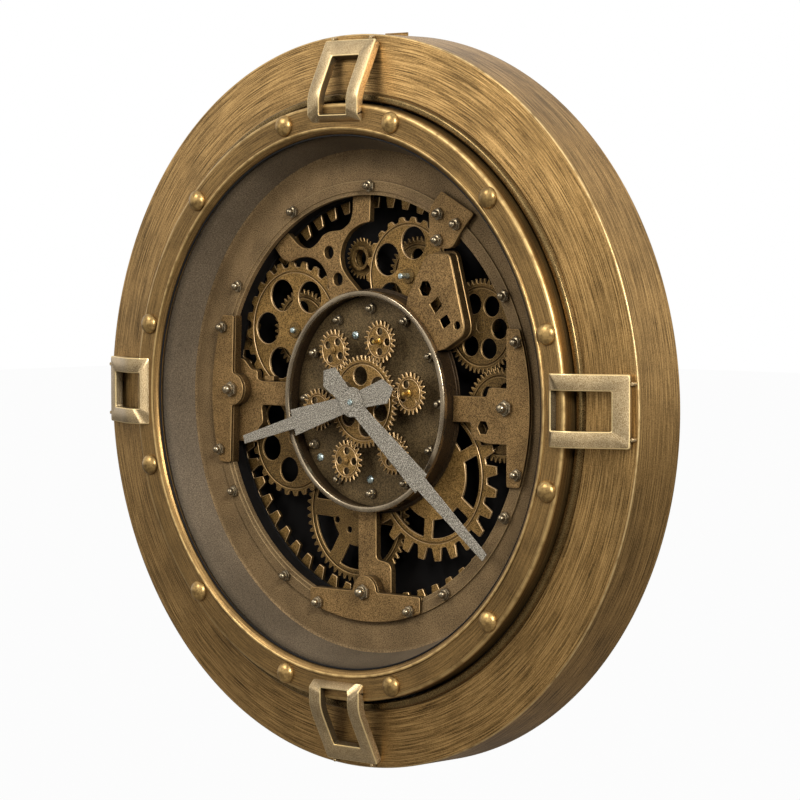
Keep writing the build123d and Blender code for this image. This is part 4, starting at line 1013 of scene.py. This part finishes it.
# %% Train
TRAIN_LOW, TRAIN_THICK, DISTANCE = 40.0, 3.0, 54.204
CENTRE_TEETH, SMALL_TEETH, TRAIN_FIRST, TRAIN_STEP = 50, 22, 9, 60
PITCH = 360 / CENTRE_TEETH
centre_edge = fine_edge(CENTRE_TEETH, 38.9, 35.0, 0)
hub = rounded([(4.15, 33.5), (7.0, 33.5), (7.0, 45.6), (6.2, 46.0), (4.15, 46.0)],
              [0.1, 0.3, 0.5, 0.3, 0.3], 3)[0]
make_piece("centre_gear", [*grooved_wheel(centre_edge, (0, 0), TRAIN_LOW, TRAIN_THICK, 32.0,
                                          holes_round(7.9, 21.7, 6, -22), 6.8), turned(hub, 0.5, 48)],
           gear_brass, "centre", ["centre_wheel"])
for number in range(6):
    place = TRAIN_FIRST + TRAIN_STEP * number
    nearest = round(place / PITCH) * PITCH
    gap = place + 180 - (nearest - place) * CENTRE_TEETH / SMALL_TEETH
    edge = fine_edge(SMALL_TEETH, 17.9, 14.0, gap + 180 / SMALL_TEETH)
    layers = grooved_wheel(edge, polar(DISTANCE, place), TRAIN_LOW, TRAIN_THICK, 12.7,
                           holes_round(3.2, 8.5, 4, place + 20), 1.6, 0.7, 0.45)
    make_piece(f"small_gear_{number + 1}", layers, gear_brass, f"small_{number + 1}",
               [f"small_wheel_{number + 1}"])
post = [(4.2, 30.5), (4.2, 33), (3.2, 33.4), (3.2, 39.3), (1.5, 39.4), (1.5, 43.0)]
posts, pins = [], []
for number in range(6):
    place = polar(DISTANCE, TRAIN_FIRST + TRAIN_STEP * number)
    tip = 51.0 if number < 2 else 45.6
    posts.append(knob(post, place, 0, 24, 0.2))
    pins.append(knob([(1.5, 43.0), (2.9, 43.15), (2.9, 44.2), (2.4, 44.5), (1.6, 44.6), (1.6, tip - 0.4),
                      (1.1, tip), (0, tip)], place, 0, 24))
make_piece("train_posts", posts, stud_steel, stands_for=["wheel_posts"])
make_piece("train_pins_brass", pins[:2], pin_brass)
make_piece("train_pins_bronze", pins[2:], gear_brass)
print("one turn of the centre wheel turns a small one", round(CENTRE_TEETH / SMALL_TEETH, 3), "times")

# %% [markdown]
# ## Hands
# The hands are thin sheet with a broad blade, a step to the pointer and a short pointed tail. The hour
# hand sits on a tube and the minute hand on a shaft inside it, and a small nut holds both.

# %% Hands
def hand_edge(length, shares, tail_share, turn):
    """Outline of a hand as shares of its length, joined with the round hub, turned to its angle."""
    upper = [np.array([a * length, b * length]) for a, b in shares]
    lower = [np.array([a, -b]) for a, b in upper[::-1]]
    return turn_points(np.array(upper + lower + [np.array([-tail_share * length, 0.0])]), turn)


HOUR = [(-0.285, 0.0765), (0, 0.047), (0.538, 0.0831), (0.538, 0.039), (1, 0.0272)]
MINUTE = [(-0.17, 0.0556), (0, 0.0332), (0.534, 0.053), (0.534, 0.0343), (1, 0.0192)]
hour_edge = hand_edge(136.0, HOUR, 0.3566, 195.6)
minute_edge = hand_edge(192.5, MINUTE, 0.2125, -38.7)
collar = rounded([(1.6, 52.2), (5, 52.2), (5, 54.6), (1.6, 54.6)], 0.3, 3)[0]
make_piece("hour_hand_blade", [plate(hour_edge, [], 54.5, 55.4, 0.15),
                               plate(circle(12.5, count=64), [circle(1.56, count=24)], 54.7, 55.5, 0.15),
                               turned(collar, 0, 40),
                               turned([(1.56, 21.9), (3.0, 21.9), (3.0, 52.3), (1.56, 52.3)], 0, 32)],
           hand_silver, "hour", ["hour_hand"])
make_piece("minute_hand_blade", [plate(minute_edge, [], 56.5, 57.4, 0.15),
                                 plate(circle(12.5, count=64), [], 56.7, 57.5, 0.15),
                                 knob([(2.9, 55.7), (2.9, 56.6)], (0, 0), 0, 32),
                                 knob([(0, 21.9), (1.5, 21.9), (1.5, 56.6)], (0, 0), 0, 24)],
           hand_silver, "minute", ["minute_hand"])
make_piece("hand_nut", [knob([(2.5, 57.5), (2.5, 58.8), (2.0, 59.3), (0.9, 59.3), (0.8, 59.0), (0, 59.0)],
                             (0, 0), 0, 32)], screw_steel, "minute", ["hand_cap"])
print("points round the minute hand:", len(minute_edge))

# %% [markdown]
# ## Movement and battery
# Behind the plates sits an ordinary quartz movement, a moulded box with a threaded bushing, and its
# cell lies in its back. The thread is drawn as twelve grooves. The nut that clamps it is six-sided.

# %% Movement and battery
slot_loop = rounded([(-24.9, -25.2), (24.9, -25.2), (24.9, -10.8), (-24.9, -10.8)], 0.6, 3)[0]
box = rounded([(-28, -28), (28, -28), (28, 28), (-28, 28)], 3.5, 6)[0]
bushing = [(3.06, 30.5), (4.0, 30.5)]
for turn_number in range(12):
    bushing += [(4.0, 46.4 + 0.45 * turn_number), (3.8, 46.62 + 0.45 * turn_number)]
bushing += [(3.9, 51.9), (3.06, 52.0)]
make_piece("movement_case", [plate(box, [slot_loop], 6.2, 20.0, 0.5), plate(box, [], 20.0, 21.2, 0.4),
                             knob([(9, 21.1), (9, 27.4), (4, 27.45)], (0, 0), 0, 40)],
           movement_black, stands_for=["quartz_movement"])
make_piece("movement_bushing", [turned(bushing, 0, 40)], pin_brass)
nut = [(7.0, 30.5), (7.6, 30.6), (7.6, 32.6), (7.0, 33.1), (4.1, 33.1)]
make_piece("bushing_nut", [knob(nut, (0, 0), 0, 48, 0.2, 6)], screw_steel,
           stands_for=["movement_nut"])
cell = rounded([(-24.4, 0), (-24.4, 6.9), (23.2, 6.9), (23.2, 2.7), (24.4, 2.7), (24.4, 0)],
               [0, 0.8, 0.8, 0.4, 0.3, 0], 4, closed=False)[0]
points, faces, wear_and_shade = knob(np.stack([cell[:, 1], cell[:, 0]], -1), (0, 0), 0, 40)
points = np.stack([points[:, 1], 12.8 + points[:, 0], -18 + points[:, 2]], -1)
make_piece("cell", [(points, faces, wear_and_shade)], cell_steel, stands_for=["battery"])
tab = bpy.data.objects["hanger_tab"]
tab.data.materials.clear()
tab.data.materials.append(case_bronze)
print("the packed hanger tab keeps its shape and takes", case_bronze.name)

# %% [markdown]
# ## Camera
# The photograph was taken from the right with a long lens. The camera's place, angles and focal length
# were fitted to points of the clock in it, such as the case's ellipses, the studs and the wheels.

# %% Camera
HALF, AWAY, SENSOR, PICTURE = 0.305, 9.146, 36.0, 800
AZIMUTH, ELEVATION, ROLL, FOCAL = math.radians(43.6156), math.radians(2.8583), math.radians(-0.0922), 3385.25
target = np.array([0.05223, -0.05259, 0.00350])
back = np.array([math.sin(AZIMUTH) * math.cos(ELEVATION), -math.cos(AZIMUTH) * math.cos(ELEVATION),
                 math.sin(ELEVATION)])
right = np.cross(-back, [0, 0, 1.0])
right /= np.linalg.norm(right)
up = np.cross(right, -back)
right, up = (math.cos(ROLL) * right + math.sin(ROLL) * up), (math.cos(ROLL) * up - math.sin(ROLL) * right)
view = bpy.data.cameras.new("view")
view.sensor_width, view.lens = SENSOR, FOCAL * SENSOR / PICTURE
view.clip_end = 50
camera = bpy.data.objects.new("view", view)
place = np.eye(4)
place[:3, 0], place[:3, 1], place[:3, 2], place[:3, 3] = right, up, back, target + back * AWAY * HALF
camera.matrix_world = Matrix(place.tolist())
bpy.context.scene.collection.objects.link(camera)
bpy.context.scene.camera = camera
print("focal length in mm:", round(view.lens, 1))

# %% [markdown]
# ## Light and floor
# Two soft square panels light the clock from the front. Nothing but white shows round it, so to the
# camera the world and the floor are white, while to the clock's own surfaces the world is dimmer.
# The floor is a pale plane well below, so no shadow of the clock shows on it.

# %% Light and floor
def panel(name, place, aim, size, power):
    """Soft square lamp that faces a point."""
    lamp = bpy.data.lights.new(name, "AREA")
    lamp.shape, lamp.size, lamp.energy = "SQUARE", size, power
    holder = bpy.data.objects.new(name, lamp)
    holder.location = place
    holder.rotation_euler = (Vector(aim) - Vector(place)).to_track_quat("-Z", "Y").to_euler()
    bpy.context.scene.collection.objects.link(holder)


panel("key", (-1.0, -2.5, 1.9), (0, 0, 0), 0.9, 39)
panel("fill", (2.6, -1.6, 1.3), (0, 0, 0), 0.9, 112)

world = bpy.data.worlds.new("studio")
bpy.context.scene.world = world
world.use_nodes = True
sky = world.node_tree
rays = add(sky, "ShaderNodeLightPath").outputs
seen = add(sky, "ShaderNodeMath", {"operation": "MAXIMUM"},
           {0: rays["Is Camera Ray"], 1: rays["Is Transmission Ray"]}).outputs[0]
seen = add(sky, "ShaderNodeMath", {"operation": "MAXIMUM"}, {0: seen, 1: rays["Is Glossy Ray"]}).outputs[0]
DIM_WORLD, FLOOR_GLOW, FLOOR_HALF, FLOOR_Z = 0.30, 0.97, 15, -0.75
level = add(sky, "ShaderNodeMapRange", inputs={0: seen, 3: DIM_WORLD, 4: 1.0}).outputs[0]
backdrop = add(sky, "ShaderNodeBackground", inputs={"Color": (1, 1, 1, 1), "Strength": level})
sky.links.new(backdrop.outputs[0], sky.nodes["World Output"].inputs["Surface"])

floor_mesh = bpy.data.meshes.new("floor")
corners = [(x * FLOOR_HALF, y * FLOOR_HALF, FLOOR_Z) for x, y in ((-1, -1), (1, -1), (1, 1), (-1, 1))]
floor_mesh.from_pydata(corners, [], [(0, 1, 2, 3)])
floor_material, floor_tree, floor_shader = new_material("pale_floor", roughness=0.9)
floor_shader.inputs["Base Color"].default_value = linear("#8f8b86")
rays = add(floor_tree, "ShaderNodeLightPath").outputs
seen = add(floor_tree, "ShaderNodeMath", {"operation": "MAXIMUM"},
           {0: rays["Is Camera Ray"], 1: rays["Is Transmission Ray"]}).outputs[0]
glow = add(floor_tree, "ShaderNodeEmission", inputs={"Color": (1, 1, 1, 1), "Strength": 1.0}).outputs[0]
share = add(floor_tree, "ShaderNodeMath", {"operation": "MULTIPLY"}, {0: seen, 1: FLOOR_GLOW}).outputs[0]
mixed = add(floor_tree, "ShaderNodeMixShader", inputs={0: share, 1: floor_shader.outputs[0], 2: glow})
floor_tree.links.new(mixed.outputs[0], floor_tree.nodes["Material Output"].inputs["Surface"])
floor_mesh.materials.append(floor_material)
floor_piece = bpy.data.objects.new("floor", floor_mesh)
bpy.context.scene.collection.objects.link(floor_piece)
bpy.context.scene.view_settings.view_transform = "Standard"
print("floor at", FLOOR_Z, "m, lamps:", len(bpy.data.lights))
